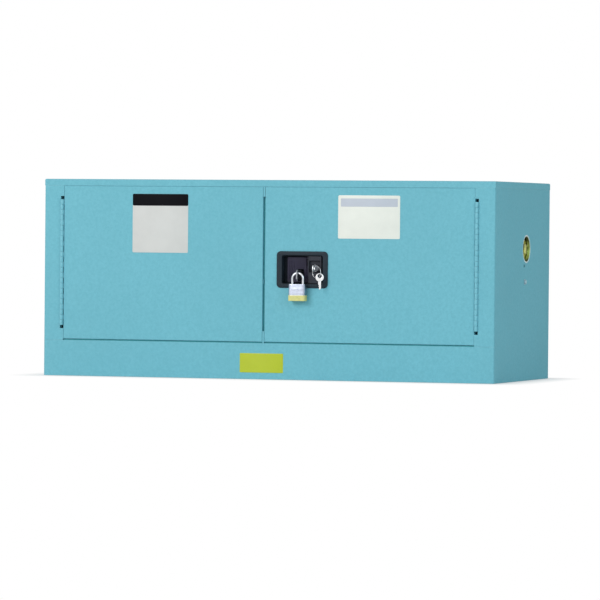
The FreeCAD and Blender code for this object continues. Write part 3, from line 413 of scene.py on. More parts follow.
def moulded(name, colour, wear_and_highlight_colour, rough=0.42, grain=900.0, depth=0.00005, radius=0.0009):
    """Moulded or cast and painted: fine grain, faint cloud, edges lightened partly by wear and
    partly as a painted highlight, and a few scuffs.
    """
    made = Finish(name)
    cloud = made.spread(made.noise(35.0, 3.0, 0.55), 0.3, 0.7)
    scuff = made.noise(60.0, 5.0, 0.7, where=made.stretched((1.0, 1.0, 6.0)), distortion=1.2)
    scuff = made.spread(scuff, 0.62, 0.72)
    tone = made.mix(cloud, tint(colour, 0.9), tint(colour, 1.12))
    tone = made.mix(made.times(scuff, 0.25), tone, wear_and_highlight_colour)
    soft, edge = made.rim(radius)
    chips = made.spread(made.noise(160.0, 3.0, 0.6), 0.3, 0.65, 0.3, 1.0)
    # painted highlight on the edges, broken up by wear: the edges lighten towards a paler colour
    worn_and_highlit = made.times(edge, chips)
    tone = made.mix(made.times(worn_and_highlit, 0.6), tone, wear_and_highlight_colour)
    normal = made.bump(made.noise(grain, 3.0, 0.5), 0.4, depth, soft)
    level = made.spread(cloud, 0.0, 1.0, rough - 0.05, rough + 0.06)
    level = made.calc("SUBTRACT", level, made.times(scuff, 0.08))
    return made.finish(tone, level, normal, Specular_IOR_Level=0.16)


def metal(
    name, colour, rough, brush=(1.0, 1.0, 60.0), marks=0.4, dull=None, radius=0.0006,
    spangle=0.0, vent_shade=None,
):
    """Plated or bare metal: brushed lines, stained patches, fine scratches, edges brightened as a
    painted highlight, and painted shade towards a vent's wall when asked.
    """
    made = Finish(name)
    lines = made.noise(220.0, 3.0, 0.6, where=made.stretched(brush))
    stain = made.spread(made.noise(70.0, 4.0, 0.6), 0.38, 0.66)
    dull = dull or tint(colour, 0.72)
    tone = made.mix(made.times(stain, 0.55), colour, dull)
    tone = made.mix(made.times(lines, 0.25), tone, tint(colour, 0.85))
    level = made.spread(stain, 0.0, 1.0, rough, rough + 0.14)
    if spangle:
        flakes = made.node(
            "ShaderNodeTexVoronoi", outlet="Color", Vector=made.place, Scale=spangle
        )
        flake = made.node("ShaderNodeSeparateColor", Color=flakes)
        tone = made.mix(made.times(flake, 0.3), tone, tint(colour, 1.18))
        level = made.calc("ADD", level, made.spread(flake, 0.0, 1.0, -0.06, 0.1))
    scratch = made.noise(30.0, 6.0, 0.75, where=made.stretched((9.0, 5.0, 1.0)), distortion=2.0)
    scratch = made.spread(scratch, 0.58, 0.63)
    level = made.calc("ADD", level, made.times(scratch, 0.1 * marks))
    soft, edge = made.rim(radius)
    # painted highlight: the edges brighten to a quarter above the metal's colour
    tone = made.mix(made.times(edge, 0.5), tone, tint(colour, 1.25))
    # painted shade: towards the vent's wall the metal darkens to a sixth of its colour, for the
    # shade inside the recessed vent
    if vent_shade:
        tone = made.mix(made.vent_middle_unshaded(*vent_shade), tint(colour, 0.16), tone)
    normal = made.bump(lines, 0.25 * marks, 0.00004, soft)
    normal = made.bump(scratch, 0.15 * marks, 0.00003, normal)
    return made.finish(tone, level, normal, metal=1.0)


def rubber(name, colour):
    """Dyed rubber: matt, finely grained, dirtier in patches, and paler at the edges as a painted
    highlight.
    """
    made = Finish(name)
    cloud = made.spread(made.noise(120.0, 4.0, 0.6), 0.3, 0.7)
    dirt = made.spread(made.noise(260.0, 5.0, 0.65), 0.56, 0.7)
    tone = made.mix(cloud, tint(colour, 0.9), tint(colour, 1.06))
    tone = made.mix(made.times(dirt, 0.3), tone, (0.22, 0.18, 0.06))
    soft, edge = made.rim(0.0006)
    # painted highlight: every edge lightens to a quarter above the rubber's colour
    tone = made.mix(made.times(edge, 0.35), tone, tint(colour, 1.25))
    normal = made.bump(made.noise(1600.0, 2.0, 0.5), 0.5, 0.00004, soft)
    level = made.spread(cloud, 0.0, 1.0, 0.5, 0.62)
    return made.finish(tone, level, normal, Specular_IOR_Level=0.4)


def woven_wire(name, colour):
    """Fine gauze: two sets of crossing wires, the openings between them painted nearly black as
    painted shade.
    """
    made = Finish(name)
    sets = [
        made.node(
            "ShaderNodeTexWave",
            settings={"bands_direction": direction, "wave_profile": "SIN"},
            Vector=made.place, Scale=520.0, Distortion=0.4, Detail=1.0,
        )
        for direction in "YZ"
    ]
    wires = made.calc("MAXIMUM", *sets)
    # painted shade: the openings between the wires are nearly black, for the dark behind the gauze
    tone = made.mix(made.spread(wires, 0.4, 0.9), (0.02, 0.02, 0.02), colour)
    tone = made.mix(made.times(made.noise(60.0, 3.0), 0.3), tone, tint(colour, 0.5))
    soft, _ = made.rim(0.0004)
    normal = made.bump(wires, 0.8, 0.0003, soft)
    return made.finish(tone, made.spread(wires, 0.0, 1.0, 0.7, 0.35), normal, metal=0.9)


def printed(name, colour, rough=0.32, warm=(0.9, 0.86, 0.74), gloss=0.5):
    """Printed vinyl film: faint mottling, a slight ripple, and soiled edges."""
    made = Finish(name)
    cloud = made.spread(made.noise(22.0, 4.0, 0.6), 0.3, 0.7)
    fibre = made.spread(made.noise(1300.0, 2.0, 0.6), 0.3, 0.7)
    tone = made.mix(cloud, tint(colour, 0.97), tint(colour, 1.03))
    tone = made.mix(made.times(fibre, 0.12), tone, tint(colour, 0.85))
    aged = tuple(channel * shade for channel, shade in zip(colour, warm))
    soft, edge = made.rim(0.0005)
    tone = made.mix(made.times(edge, 0.6), tone, aged)
    normal = made.bump(made.noise(180.0, 3.0, 0.5), 0.1, 0.0002, soft)
    normal = made.bump(fibre, 0.15, 0.00003, normal)
    level = made.spread(cloud, 0.0, 1.0, rough, rough + 0.08)
    return made.finish(tone, level, normal, Specular_IOR_Level=gloss)


BLUE = (0.193, 0.506, 0.598)
blue_paint = powder_coat("BluePowderCoat", BLUE, (0.42, 0.72, 0.80))
blue_inside = powder_coat("BluePowderCoatInside", tint(BLUE, 0.97), (0.4, 0.7, 0.78), peel=620.0)
blue_dark = powder_coat("BlueShadedPaint", tint(BLUE, 0.55), (0.2, 0.4, 0.46), radius=0.0004)
# painted highlight: the knuckles' paint is 4% lighter than the doors', for the light along the
# rolled hinge
blue_hinge_lightened = powder_coat(
    "BlueHingePaintLightened", tint(BLUE, 1.04), (0.46, 0.74, 0.80), radius=0.0005, gloss=0.35
)
# painted light: 20% lighter than the doors, for the strips that cover the shade of the narrow gaps
blue_seam_lightened = powder_coat("BlueSeamPaintLightened", tint(BLUE, 1.2), (0.42, 0.72, 0.80), radius=0.0001)
# painted shade: a darker teal for the lip and flap behind the gaps, standing for the shade in the
# gaps
blue_recess_shaded = powder_coat("BlueRecessShadedPaint", (0.11, 0.46, 0.50), (0.3, 0.6, 0.64), radius=0.0003)
zinc = metal("ZincPlate", (0.62, 0.63, 0.65), 0.3, spangle=260.0)
zinc_bright = metal("ZincBright", (0.72, 0.73, 0.75), 0.24, marks=0.6)
gauze = woven_wire("WovenGauze", (0.5, 0.5, 0.5))
brass = metal(
    "DullBrass", (0.50, 0.52, 0.10), 0.30, brush=(60.0, 1.0, 1.0), marks=1.0,
    dull=(0.13, 0.20, 0.05), radius=0.001, vent_shade=(0.036, (0.148, 0.299)),
)
brass_bore = metal(
    "SleeveMetal", (0.42, 0.50, 0.14), 0.34, marks=1.0,
    dull=(0.10, 0.16, 0.05), vent_shade=(0.058, (0.146, 0.297)),
)
# painted highlight: a pale metal for the thin ring lit along the sleeves' rims
sleeve_rim_highlight = metal("SleeveRimHighlight", (0.50, 0.66, 0.68), 0.3, marks=0.6)
screw_metal = metal("ScrewZinc", (0.34, 0.50, 0.56), 0.34, marks=0.8)
dark_steel = metal("DarkSteel", (0.035, 0.036, 0.045), 0.4, marks=0.8)
tray = moulded("TrayPlastic", (0.035, 0.040, 0.045), (0.12, 0.13, 0.14), rough=0.5, grain=500.0)
dish = moulded("DishGrey", (0.016, 0.026, 0.036), (0.07, 0.09, 0.11), rough=0.45)
block = moulded("LockBlockGrey", (0.030, 0.032, 0.042), (0.10, 0.11, 0.13), rough=0.45)
paddle = moulded("PaddleBlack", (0.026, 0.023, 0.045), (0.08, 0.08, 0.12), rough=0.4)
staple = metal("StapleSteel", (0.26, 0.27, 0.29), 0.4, marks=1.0)
chrome = metal("LockChrome", (0.20, 0.21, 0.23), 0.22, marks=0.7)
key_metal = metal(
    "KeyNickel", (0.92, 0.92, 0.93), 0.22, brush=(1.0, 60.0, 1.0), marks=1.0,
    dull=(0.80, 0.80, 0.81),
)
shackle_metal = metal("ShackleChrome", (0.66, 0.68, 0.72), 0.16, marks=0.5)
plate_metal = metal("PlateZinc", (0.48, 0.52, 0.62), 0.30, brush=(1.0, 1.0, 90.0), marks=1.0)
yellow = rubber("YellowRubber", (0.70, 0.66, 0.25))
cylinder_brass = metal("CylinderBrass", (0.72, 0.56, 0.24), 0.25, marks=0.8)
label_grey = printed("LabelGrey", (0.62, 0.62, 0.60))
label_black = printed(
    "LabelBlack", (0.005, 0.005, 0.007), rough=0.28, warm=(3.0, 3.0, 3.0), gloss=0.05
)
label_white = printed("LabelWhite", (0.785, 0.80, 0.735))
label_pale = printed("LabelPaleBlue", (0.50, 0.54, 0.61))
label_green = printed("StickerYellowGreen", (0.47, 0.54, 0.014), warm=(0.7, 0.72, 0.5))

SLOT_FINISH = {
    "blue_paint": blue_paint,
    "zinc_steel": zinc,
    "gauze_steel": gauze,
    "plug_brass": brass,
    "tray_plastic": tray,
    "dish_grey": dish,
    "block_grey": block,
    "paddle_black": paddle,
    "staple_steel": staple,
    "lock_chrome": chrome,
    "key_steel": key_metal,
    "shackle_chrome": shackle_metal,
    "plate_steel": plate_metal,
    "yellow_rubber": yellow,
    "cylinder_brass": cylinder_brass,
}
NODE_FINISH = {"paddle_pin": dark_steel, "paddle_spring": dark_steel}


def dress_nodes():
    """Give every CAD node the finish of its slot."""
    slots = {row["node"]: row["material_slot"] for row in frame["record"]["subparts"]}
    for name, node in frame["nodes"].items():
        finish = NODE_FINISH.get(name, SLOT_FINISH[slots[name]])
        if slots[name] == "blue_paint" and (name.startswith("liner") or "inner" in name):
            finish = blue_inside
        if not node.material_slots:
            node.data.materials.append(finish)
        for place in node.material_slots:
            place.material = finish


# ---- pieces -------------------------------------------------------------------------------------

def hinges():
    """Piano hinges: rolled knuckles on notched leaves, and their round pins."""
    count = 24
    top = HINGE_BOTTOM + HINGE_LENGTH
    pitch = (HINGE_LENGTH + 0.4) / count
    length = pitch - 0.3
    roll, bore, soft = 4.0, 1.62, 0.35
    axis_to_leaf, leaf_back = 4.35, 26
    for name, side in (("left", -1), ("right", 1)):
        axis = side * HINGE_X
        for leaf, first, outer, inner, body in (
            ("frame", 0, side * 506.8, side * 505.3, "cabinet"),
            ("door", 1, side * DOOR_EDGE, side * 499.8, f"{name}_door"),
        ):
            form = Form()
            low, high = min(outer, inner), max(outer, inner)
            plate = rounded(low, high, HINGE_Y + axis_to_leaf, HINGE_Y + leaf_back, 0.3, 2)
            form.prism(plate, HINGE_BOTTOM, top, along_z, soft=0.25, steps=2)
            for step in range(first, count, 2):
                start = HINGE_BOTTOM + pitch * step
                end = start + length
                web = rounded(low, high, HINGE_Y - 0.4, HINGE_Y + axis_to_leaf + 0.25, 0.1, 1)
                form.prism(web, start, end, along_z)
                form.lathe(
                    [
                        (start, bore),
                        (start, roll - soft),
                        (start + soft * 0.35, roll - soft * 0.3),
                        (start + soft, roll),
                        (end - soft, roll),
                        (end - soft * 0.35, roll - soft * 0.3),
                        (end, roll - soft),
                        (end, bore),
                    ],
                    axis, HINGE_Y, along_z, 28,
                )
            piece(
                f"{name}_hinge_{leaf}_rolled", form, body, blue_hinge_lightened,
                [f"{name}_hinge_{leaf}_leaf"],
            )
    form = Form()
    pin = [(HINGE_BOTTOM - 0.2, 0.9), (HINGE_BOTTOM + 0.3, 1.5)]
    pin += [(top - 0.3, 1.5), (top + 0.2, 0.9)]
    for side in (-1, 1):
        form.lathe(pin, side * HINGE_X, HINGE_Y, along_z, 24, closed=False)
    piece("HingePins_round", form, "cabinet", dark_steel, ["hinge_pins"])


def handle_dish():
    """The cast dish: a rounded rim, deep walls, and a floor with its openings."""
    form = Form()
    left, right, low, high = 26.0, 149.3, 210.3, 294.4
    face = FRONT - 2.5
    floor = FRONT + 20
    wall_left, wall_right = left + 11, right - 10.3
    wall_low, wall_high = low + 7.7, high - 7.4
    mouth = rounded(wall_left + 2, wall_right - 2, wall_low + 2, wall_high - 2, 4.0, 6)
    plate = rounded(left, right, low, high, 9.5, 9)
    form.prism(plate, face, FRONT, along_y, holes=[mouth], soft=1.3, hole_soft=0.9, steps=4)
    outer = rounded(wall_left, wall_right, wall_low, wall_high, 0.4, 1)
    form.prism(outer, FRONT - 0.6, floor, along_y, holes=[mouth])
    heel_hole = rounded(PIN_X - 7.5, PIN_X + 4, CAM_Z + 12.1, CAM_Z + 21.1, 0.5, 2)
    barrel_hole = circle(LOCK_X, LOCK_Z, 8.5, 40)
    form.prism(outer, floor - 0.02, floor + 2, along_y, holes=[heel_hole, barrel_hole])
    bead = inset(plate, 5.2)
    form.prism(bead, face - 0.35, face + 0.4, along_y, holes=[inset(bead, 0.9)], soft=0.3)
    piece("HandleDish_cast", form, "right_door", dish, ["handle_dish"], sharp=40)


def paddle_parts():
    """The moulded paddle with round bosses on its pin, and its wound spring."""
    front, back = FRONT + 10, FRONT + 13
    low, high = 223.0, 282.0
    coil_low, coil_high = 262.3, 276.3
    boss, bore = 3.5, 2.06
    form = Form()
    slot = rounded(72.0, 88.0, 226.1, 253.6, 3.0, 6)
    form.prism(
        rounded(48.0, 94.6, low, high, 3.6, 7), front, back, along_y,
        holes=[slot], soft=1.0, hole_soft=0.7, steps=4,
    )
    border = rounded(48.9, 93.4, low + 0.9, high - 0.9, 3.0, 6)
    form.prism(
        border, front - 0.35, front + 0.5, along_y,
        holes=[inset(border, 1.3)], soft=0.3, hole_soft=0.3, steps=2,
    )
    ribs, rib_pitch, rib_width = 4, 3.6, 1.7
    for step in range(ribs):
        left = 52.6 + rib_pitch * step
        rib = rounded(left, left + rib_width, low + 9, high - 9, 0.8, 4)
        form.prism(rib, front - 0.8, front + 0.5, along_y, soft=0.5)
    for start, end in ((low, coil_low - 0.5), (coil_high + 0.5, high)):
        form.lathe(
            [
                (start, bore), (start, boss - 0.4), (start + 0.4, boss),
                (end - 0.4, boss), (end, boss - 0.4), (end, bore),
            ],
            PIN_X, PIN_Y, along_z, 40,
        )
        web = rounded(92.4, 94.8, front + 1.2, back + 0.9, 0.4, 2)
        form.prism(web, start, end, along_z, soft=0.2, steps=1)
    heel = rounded(PIN_X - 2, PIN_X + 2, CAM_Z + 13.6, CAM_Z + 19.6, 0.6, 3)
    form.prism(heel, PIN_Y, FRONT + 25, along_y, soft=0.5, steps=2)
    piece("Paddle_moulded", form, "paddle", paddle, ["paddle"])

    form = Form()
    wire, reach, turns, steps = 0.44, 2.78, 14, 18
    top, bottom = coil_high - 0.6, coil_low + 0.6
    path = [(PIN_X + reach, FRONT + 19.8, top), (PIN_X + reach, PIN_Y + 1.0, top)]
    for step in range(turns * steps + 1):
        turn = math.tau * step / steps
        level = top - (top - bottom) * step / (turns * steps)
        path.append((PIN_X + reach * math.cos(turn), PIN_Y - reach * math.sin(turn), level))
    form.tube(path, wire, (0, 0, 1), 8)
    piece(
        "PaddleSpring_wound", form, "right_door", dark_steel,
        ["paddle_spring"], sharp=60,
    )


def latch_rods():
    """Round rods with a flat, slotted link, the guides' rivets and the strike's screws."""
    link_y, rod_y, radius = FRONT + 25.5, FRONT + 28.5, 4.0
    for name, axis, pin, way, tip in (
        ("top", 72.609, 245.523, 1, 429.99),
        ("bottom", 103.391, 233.277, -1, 99.01),
    ):
        form = Form()
        end = pin + way * 22
        form.lathe(
            [
                (end, 3.0), (end + way * 2, radius), (tip - way * 3.4, radius),
                (tip - way * 2.6, 3.1), (tip - way * 0.5, 3.0), (tip, 2.4),
            ],
            axis, rod_y, along_z, 40, closed=False,
        )
        low, high = sorted((pin - way * 7, end + way * 6))
        slot = rounded(axis - 4, axis + 4, pin - 2.8, pin + 2.8, 2.6, 6)
        link = rounded(axis - 5, axis + 5, low, high, 1.6, 4)
        form.prism(
            link, link_y, link_y + 3, along_y, holes=[slot], soft=0.4, hole_soft=0.3, steps=2
        )
        piece(f"{name}_rod_round", form, f"{name}_rod", zinc_bright, [f"{name}_rod"])

    form = Form()
    for u, v in ((63.6, 394.0), (81.6, 394.0), (94.4, 154.0), (112.4, 154.0), (CAM_X, CAM_Z)):
        dome = [(-0.1, 3.6), (0.25, 3.6), (0.7, 3.2), (1.1, 2.2), (1.25, 0.8)]
        form.lathe(
            [(BACK_OF_DOOR + rise, reach) for rise, reach in dome],
            u, v, along_y, 32, closed=False,
        )
    piece("GuideRivets_domed", form, "right_door", zinc_bright)

    form = Form()
    plate, from_middle = 1.2, 14.5
    face = LEFT_MEETING_EDGE + plate
    for v in (STRIKE_Z - from_middle, STRIKE_Z + from_middle):
        form.lathe(
            [(face - 0.1, 2.7), (face + 0.1, 2.7), (face + 0.3, 2.3), (face + 0.34, 0.8)],
            FRONT + 24, v, along_x, 28, closed=False,
        )
    piece("StrikeScrews_flat", form, "left_door", zinc_bright)


def trays():
    """Moulded trays: round corners, a rolled rim, a filleted floor and low ribs."""
    half, margin, ribs = 491.6, 30.0, 7
    for name, node, floor_z, height, front, back in (
        ("ShelfTray", "shelf_tray", 236.0, 32.0, -145.0, 170.0),
        ("SumpTray", "sump_tray", 58.0, 45.0, -180.0, 180.0),
    ):
        outline = rounded(-half, half, front, back, 20.0, 9)
        outside = [(2.6, 0.0), (0.9, 0.9), (0.4, 2.8)]
        lip = [
            (0.0, -7.0), (-1.6, -6.2), (-2.2, -4.8), (-2.2, -1.4), (-1.4, -0.4),
            (-0.2, 0.0), (1.6, 0.0), (2.6, -0.4), (3.2, -1.4),
        ]
        inside = [(3.5, 9.0), (4.6, 5.6), (7.4, 3.6), (11.0, 3.0)]
        form = Form()
        rings = []
        for off, rise in outside + [(off, height + drop) for off, drop in lip] + inside:
            loop = inset(outline, off) if off else outline
            rings.append(form.ring([(u, v, floor_z + rise) for u, v in loop]))
        form.skin(rings)
        form.cap([rings[0]])
        form.cap([rings[-1]])
        pitch = (back - front - 2 * margin) / (ribs - 1)
        for step in range(ribs):
            v = front + margin + pitch * step
            rib = rounded(-half + 40, half - 40, v - 3, v + 3, 2.9, 4)
            form.prism(rib, floor_z + 2.6, floor_z + 4.3, along_z, soft=0.8)
        piece(f"{name}_moulded", form, "cabinet", tray, [node])


def seams():
    """Strips in the narrow gaps painted lighter than the doors, painted light over their shade,
    and a lip behind the doors' lower gap and a flap in the middle one, in a darker teal as painted
    shade.
    """
    form = Form()
    clear, into_frame = 0.04, 0.2
    top = RAIL_BOTTOM + into_frame
    near, far = DOOR_EDGE + clear, DOOR_EDGE + 0.7
    stop_low, stop_high = 109.7, 417.5
    for box in (
        (-DOOR_EDGE + 0.1, LEFT_MEETING_EDGE - 0.7, DOOR_TOP + clear, top),
        (RIGHT_MEETING_EDGE + 0.7, DOOR_EDGE - 0.1, DOOR_TOP + clear, top),
        (-far, -near, stop_high, top),
        (near, far, stop_high, top),
        (-far, -near, DOOR_BOTTOM + 0.1, stop_low),
        (near, far, DOOR_BOTTOM + 0.1, stop_low),
    ):
        form.prism(rounded(*box, 0.08, 1), FRONT + 0.02, FRONT + 1.15, along_y)
    piece("NarrowSeam_lightened", form, "cabinet", blue_seam_lightened)

    sheet = 1.2
    form = Form()
    lip, lip_y = rounded(-498.0, 498.0, SILL_TOP - 0.2, DOOR_BOTTOM - 0.6, 0.5, 2), FRONT + 4.5
    form.prism(lip, lip_y, lip_y + sheet, along_y, soft=0.2, steps=1)
    piece("SillLip_folded", form, "cabinet", blue_recess_shaded)

    form = Form()
    flap, flap_y = rounded(LEFT_MEETING_EDGE - 0.05, -5.65, 110.0, 417.2, 0.4, 2), FRONT + 7.0
    form.prism(flap, flap_y, flap_y + sheet, along_y, soft=0.2, steps=1)
    piece("DoorFlap_folded", form, "left_door", blue_recess_shaded)


def lock_parts():
    """Bezel round the lock's barrel, and smooth keys on a split ring."""
    form = Form()
    face = FRONT + 1.5
    bezel = [(0.1, 8.45), (0.9, 8.2), (1.3, 7.7), (1.2, 7.1), (0.4, 6.7), (0.1, 6.7)]
    form.lathe([(face - rise, reach) for rise, reach in bezel], LOCK_X, LOCK_Z, along_y, 72)
    piece("LockBezel", form, "right_door", chrome)

    bow_y = FRONT - 10.5
    bow, hole, thick = 8.5, 4.8, 0.9
    form = Form()
    form.prism(
        circle(bow_y, LOCK_Z, bow, 64), LOCK_X - thick, LOCK_X + thick, along_x,
        holes=[circle(bow_y, LOCK_Z, hole, 48)], soft=0.35, hole_soft=0.3,
    )
    form.prism(
        rounded(bow_y + 7.0, FRONT + 1, LOCK_Z - 3.2, LOCK_Z + 3.2, 0.4, 3),
        LOCK_X - thick, LOCK_X + thick, along_x, soft=0.2, steps=2,
    )
    bead = [(thick - 0.05, 7.3), (thick + 0.16, 7.1), (thick + 0.16, 6.5), (thick - 0.05, 6.3)]
    for way in (-1, 1):
        form.lathe(
            [(LOCK_X + way * rise, reach) for rise, reach in bead], bow_y, LOCK_Z, along_x, 64
        )
    piece("LockKey_bow", form, "lock_plug", key_metal, ["lock_key"])

    lean, yaw = math.radians(42.7), math.radians(28)
    radius = 13.5
    top = Vector((LOCK_X, bow_y, LOCK_Z))
    level = Vector((math.cos(yaw), -math.sin(yaw), 0))
    drop = Vector((math.cos(lean) * level.x, math.cos(lean) * level.y, -math.sin(lean)))
    normal = level.cross(Vector((0, 0, 1)))
    centre = top + drop * radius
    up = normal.cross(level)
    path = []
    turns, steps, first_turn, wire = 1.9, 150, 1.1, 0.34
    for step in range(steps + 1):
        part = step / steps
        turn = math.tau * turns * part + first_turn
        point = centre + level * (radius * math.cos(turn)) + up * (radius * math.sin(turn))
        path.append(point + normal * ((part - 0.5) * 0.72))
    form = Form()
    form.tube(path, wire, normal, 12)
    piece("KeyRing_split", form, "key_ring", key_metal, ["key_ring"], sharp=60)

    form = Form()
    form.prism(
        circle(0, -3.0, 9.3, 64), -thick, thick, along_y,
        holes=[circle(0, 0, hole, 48)], soft=0.35, hole_soft=0.3,
    )
    blade = [(-3.2, -11), (-3.2, -19), (-1, -21.5), (-2.2, -23.5), (-0.4, -25.5), (-1.5, -27)]
    blade += [(-1.5, -29.5), (0, -31), (3.2, -28), (3.2, -11)]
    form.prism(blade, -thick, thick, along_y, soft=0.15, steps=1)
    ward = rounded(0.6, 1.9, -27.5, -12.5, 0.5, 3)
    for way in (-1, 1):
        form.prism(
            ward, way * (thick - 0.1), way * (thick + 0.12), along_y, soft=0.08, steps=1
        )
    spin = Matrix.Rotation(math.radians(20), 4, "Z")
    form.move(Matrix.Translation(top + drop * (2 * radius) + Vector((0, 0, 0.9))) @ spin)
    piece("SpareKey_cut", form, "spare_key", key_metal, ["spare_key"])


def padlock():
    """The laminated padlock: bent shackle, riveted plates, rubber foot and keyed cylinder."""
    x, y = PADLOCK_X, PADLOCK_Y
    spread, wire = 12.7, 2.9
    shoulder = CROWN_Z - spread
    toe, heel = PADLOCK_TOP - 9, PADLOCK_LOW + 8
    steps = 32
    path = [(x - spread, y, toe - 1.0), (x - spread, y, toe - 0.2)]
    path += [(x - spread, y, toe + (shoulder - toe) * part / 4) for part in range(1, 5)]
    for step in range(1, steps):
        turn = math.pi * (1 - step / steps)
        path.append((x + spread * math.cos(turn), y, shoulder + spread * math.sin(turn)))
    path += [(x + spread, y, shoulder - (shoulder - heel) * part / 8) for part in range(9)]
    radii = [wire] * len(path)
    radii[0] = radii[-1] = wire - 0.8
    form = Form()
    form.tube(path, radii, (0, 1, 0), 32)
    piece(
        "PadlockShackle_bent", form, "padlock_shackle", shackle_metal,
        ["padlock_shackle"],
    )

    half, deep = 39.6 / 2, 19.0 / 2
    low, band_top = PADLOCK_LOW + 2, PADLOCK_LOW + 13
    cylinder_x = x - 6
    form = Form()
    courses, slit = 12, 0.05
    course = (PADLOCK_TOP - low) / courses
    outline = rounded(x - half, x + half, y - deep, y + deep, 4.6, 7)
    bores = [circle(x - spread, y, wire + 0.06, 32), circle(x + spread, y, wire + 0.06, 32)]
    for step in range(courses):
        start = low + course * step
        holes = [bores[1]] if start > PADLOCK_LOW + 5.5 else []
        if start + course > PADLOCK_TOP - 12:
            holes.append(bores[0])
        if start < low + 6:
            holes.append(circle(cylinder_x, y, 6.6, 40))
        end = start + course - slit
        form.prism(outline, start + slit, end, along_z, holes=holes, soft=0.55, steps=2)
    far_u, far_v = half - 4.6, deep - 3.4
    rivets = [(-far_u, -far_v), (far_u, -far_v), (-far_u, far_v), (far_u, far_v)]
    rivets += [(-4.2, 0), (4.2, 0)]
    dome = [(-0.2, 1.7), (0.12, 1.6), (0.4, 1.1), (0.5, 0.3)]
    for u, v in rivets:
        form.lathe(
            [(PADLOCK_TOP + rise, reach) for rise, reach in dome],
            x + u, y + v, along_z, 20, closed=False,
        )
    piece(
        "PadlockPlates_laminated", form, "padlock_body", plate_metal,
        ["padlock_plates"],
    )

    form = Form()
    wide, thick = half + 0.7, deep + 0.7
    skin = rounded(x - wide, x + wide, y - thick, y + thick, 5.1, 7)
    form.prism(skin, low, band_top, along_z, holes=[inset(outline, -0.02)], soft=0.5, steps=3)
    window = rounded(x - half + 3, x + half - 3, y - deep + 2, y + deep - 2, 3, 5)
    form.prism(skin, PADLOCK_LOW, low + 0.6, along_z, holes=[window], soft=0.55, steps=3)
    piece("PadlockFoot_rubber", form, "padlock_body", yellow, ["padlock_bumper"])

    form = Form()
    keyway = rounded(cylinder_x - 0.8, cylinder_x + 0.8, y - 4, y + 4, 0.4, 2)
    barrel, middle = circle(cylinder_x, y, 6.45, 48), PADLOCK_LOW + 5
    form.prism(barrel, PADLOCK_LOW + 0.5, middle, along_z, holes=[keyway], soft=0.4)
    form.prism(barrel, middle, low + 6, along_z)
    piece(
        "PadlockCylinder_keyed", form, "padlock_body", cylinder_brass,
        ["padlock_cylinder"],
    )


def side_screws():
    """The earthing screw with its toothed washer, and a small round-headed screw."""
    form = Form()
    earth = (15.0, 228.0)
    teeth = []
    steps = 36
    for step in range(steps):
        turn = math.tau * step / steps
        reach = 6.5 if step % 2 else 6.0
        teeth.append((earth[0] + reach * math.cos(turn), earth[1] + reach * math.sin(turn)))
    form.prism(teeth, SIDE - 0.02, SIDE + 0.7, along_x)
    form.prism(circle(*earth, 5.6, 48), SIDE + 0.6, SIDE + 1.2, along_x, soft=0.2, steps=2)
    corner = 4.8 / math.cos(math.pi / 6)
    hexagon = circle(*earth, corner, 6, math.pi / 6)
    form.prism(hexagon, SIDE + 1.2, SIDE + 4.0, along_x, soft=0.45, steps=2)
    piece("EarthScrew_hex", form, "cabinet", screw_metal, ["side_screws"])

    form = Form()
    u, v = 11.0, 265.0
    dome = [(-0.1, 3.5), (0.5, 3.5), (1.3, 3.0), (1.8, 1.9), (2.0, 0.6)]
    form.lathe([(SIDE + rise, reach) for rise, reach in dome], u, v, along_x, 36, closed=False)
    for wide, tall in ((2.4, 0.45), (0.45, 2.4)):
        bar = rounded(u - wide, u + wide, v - tall, v + tall, 0.2, 1)
        form.prism(bar, SIDE + 1.6, SIDE + 2.0, along_x)
    piece("SideScrew_painted", form, "cabinet", blue_dark)


def vent_plugs():
    """Brass pipe plugs with a square head, and the sleeves' cut thread and rims coloured pale as a
    painted highlight.
    """
    sleeves, rims = Form(), Form()
    face, plug, sleeve = SIDE - 8, 28.9, 29.0
    pitch = 2.2
    for name, side, height in (("left", -1, LEFT_VENT_Z), ("right", 1, RIGHT_VENT_Z)):
        centre = (VENT_Y, height)
        form = Form()
        profile = [(face - 16, 0.5), (face - 16, plug - 1.2)]
        level = face - 15.2
        while level < face - 2:
            profile += [(level, plug), (level + pitch / 2, plug - 0.9)]
            level += pitch
        profile += [
            (face - 1.0, plug), (face - 0.25, plug - 0.5), (face, plug - 1.2), (face, 21.5),
            (face - 0.5, 21.0), (face - 0.5, 17.0), (face, 16.5), (face, 0.5),
        ]
        form.lathe(mirrored(profile, side), *centre, along_x, 72, closed=False)
        head = rounded(centre[0] - 11, centre[0] + 11, centre[1] - 11, centre[1] + 11, 1.6, 4)
        ends = sorted((side * (face - 0.5), side * (face + 5)))
        form.prism(head, ends[0], ends[1], along_x, soft=1.1)
        piece(
            f"{name}_VentPlug_threaded", form, f"{name}_vent_cap", brass,
            [f"{name}_vent_cap"],
        )

        profile = [(505.6, 32.4), (505.6, sleeve), (SIDE - 7.4, sleeve)]
        level = SIDE - 7.2
        while level < SIDE - 1.4:
            profile += [(level, sleeve), (level + pitch / 2, sleeve - 0.7)]
            level += pitch
        profile += [(SIDE - 0.8, sleeve), (SIDE - 0.4, sleeve + 0.5), (SIDE - 0.4, 32.4)]
        sleeves.lathe(mirrored(profile, side), *centre, along_x, 96)
        profile = [
            (SIDE - 0.5, 29.5), (SIDE - 0.2, 29.7), (SIDE, 30.3),
            (SIDE, 31.7), (SIDE - 0.1, 32.2), (SIDE - 0.5, 32.4),
        ]
        rims.lathe(mirrored(profile, side), *centre, along_x, 96)
    piece("VentSleeves_threaded", sleeves, "cabinet", brass_bore, ["vent_sleeves"])
    piece("VentRims_turned", rims, "cabinet", sleeve_rim_highlight)


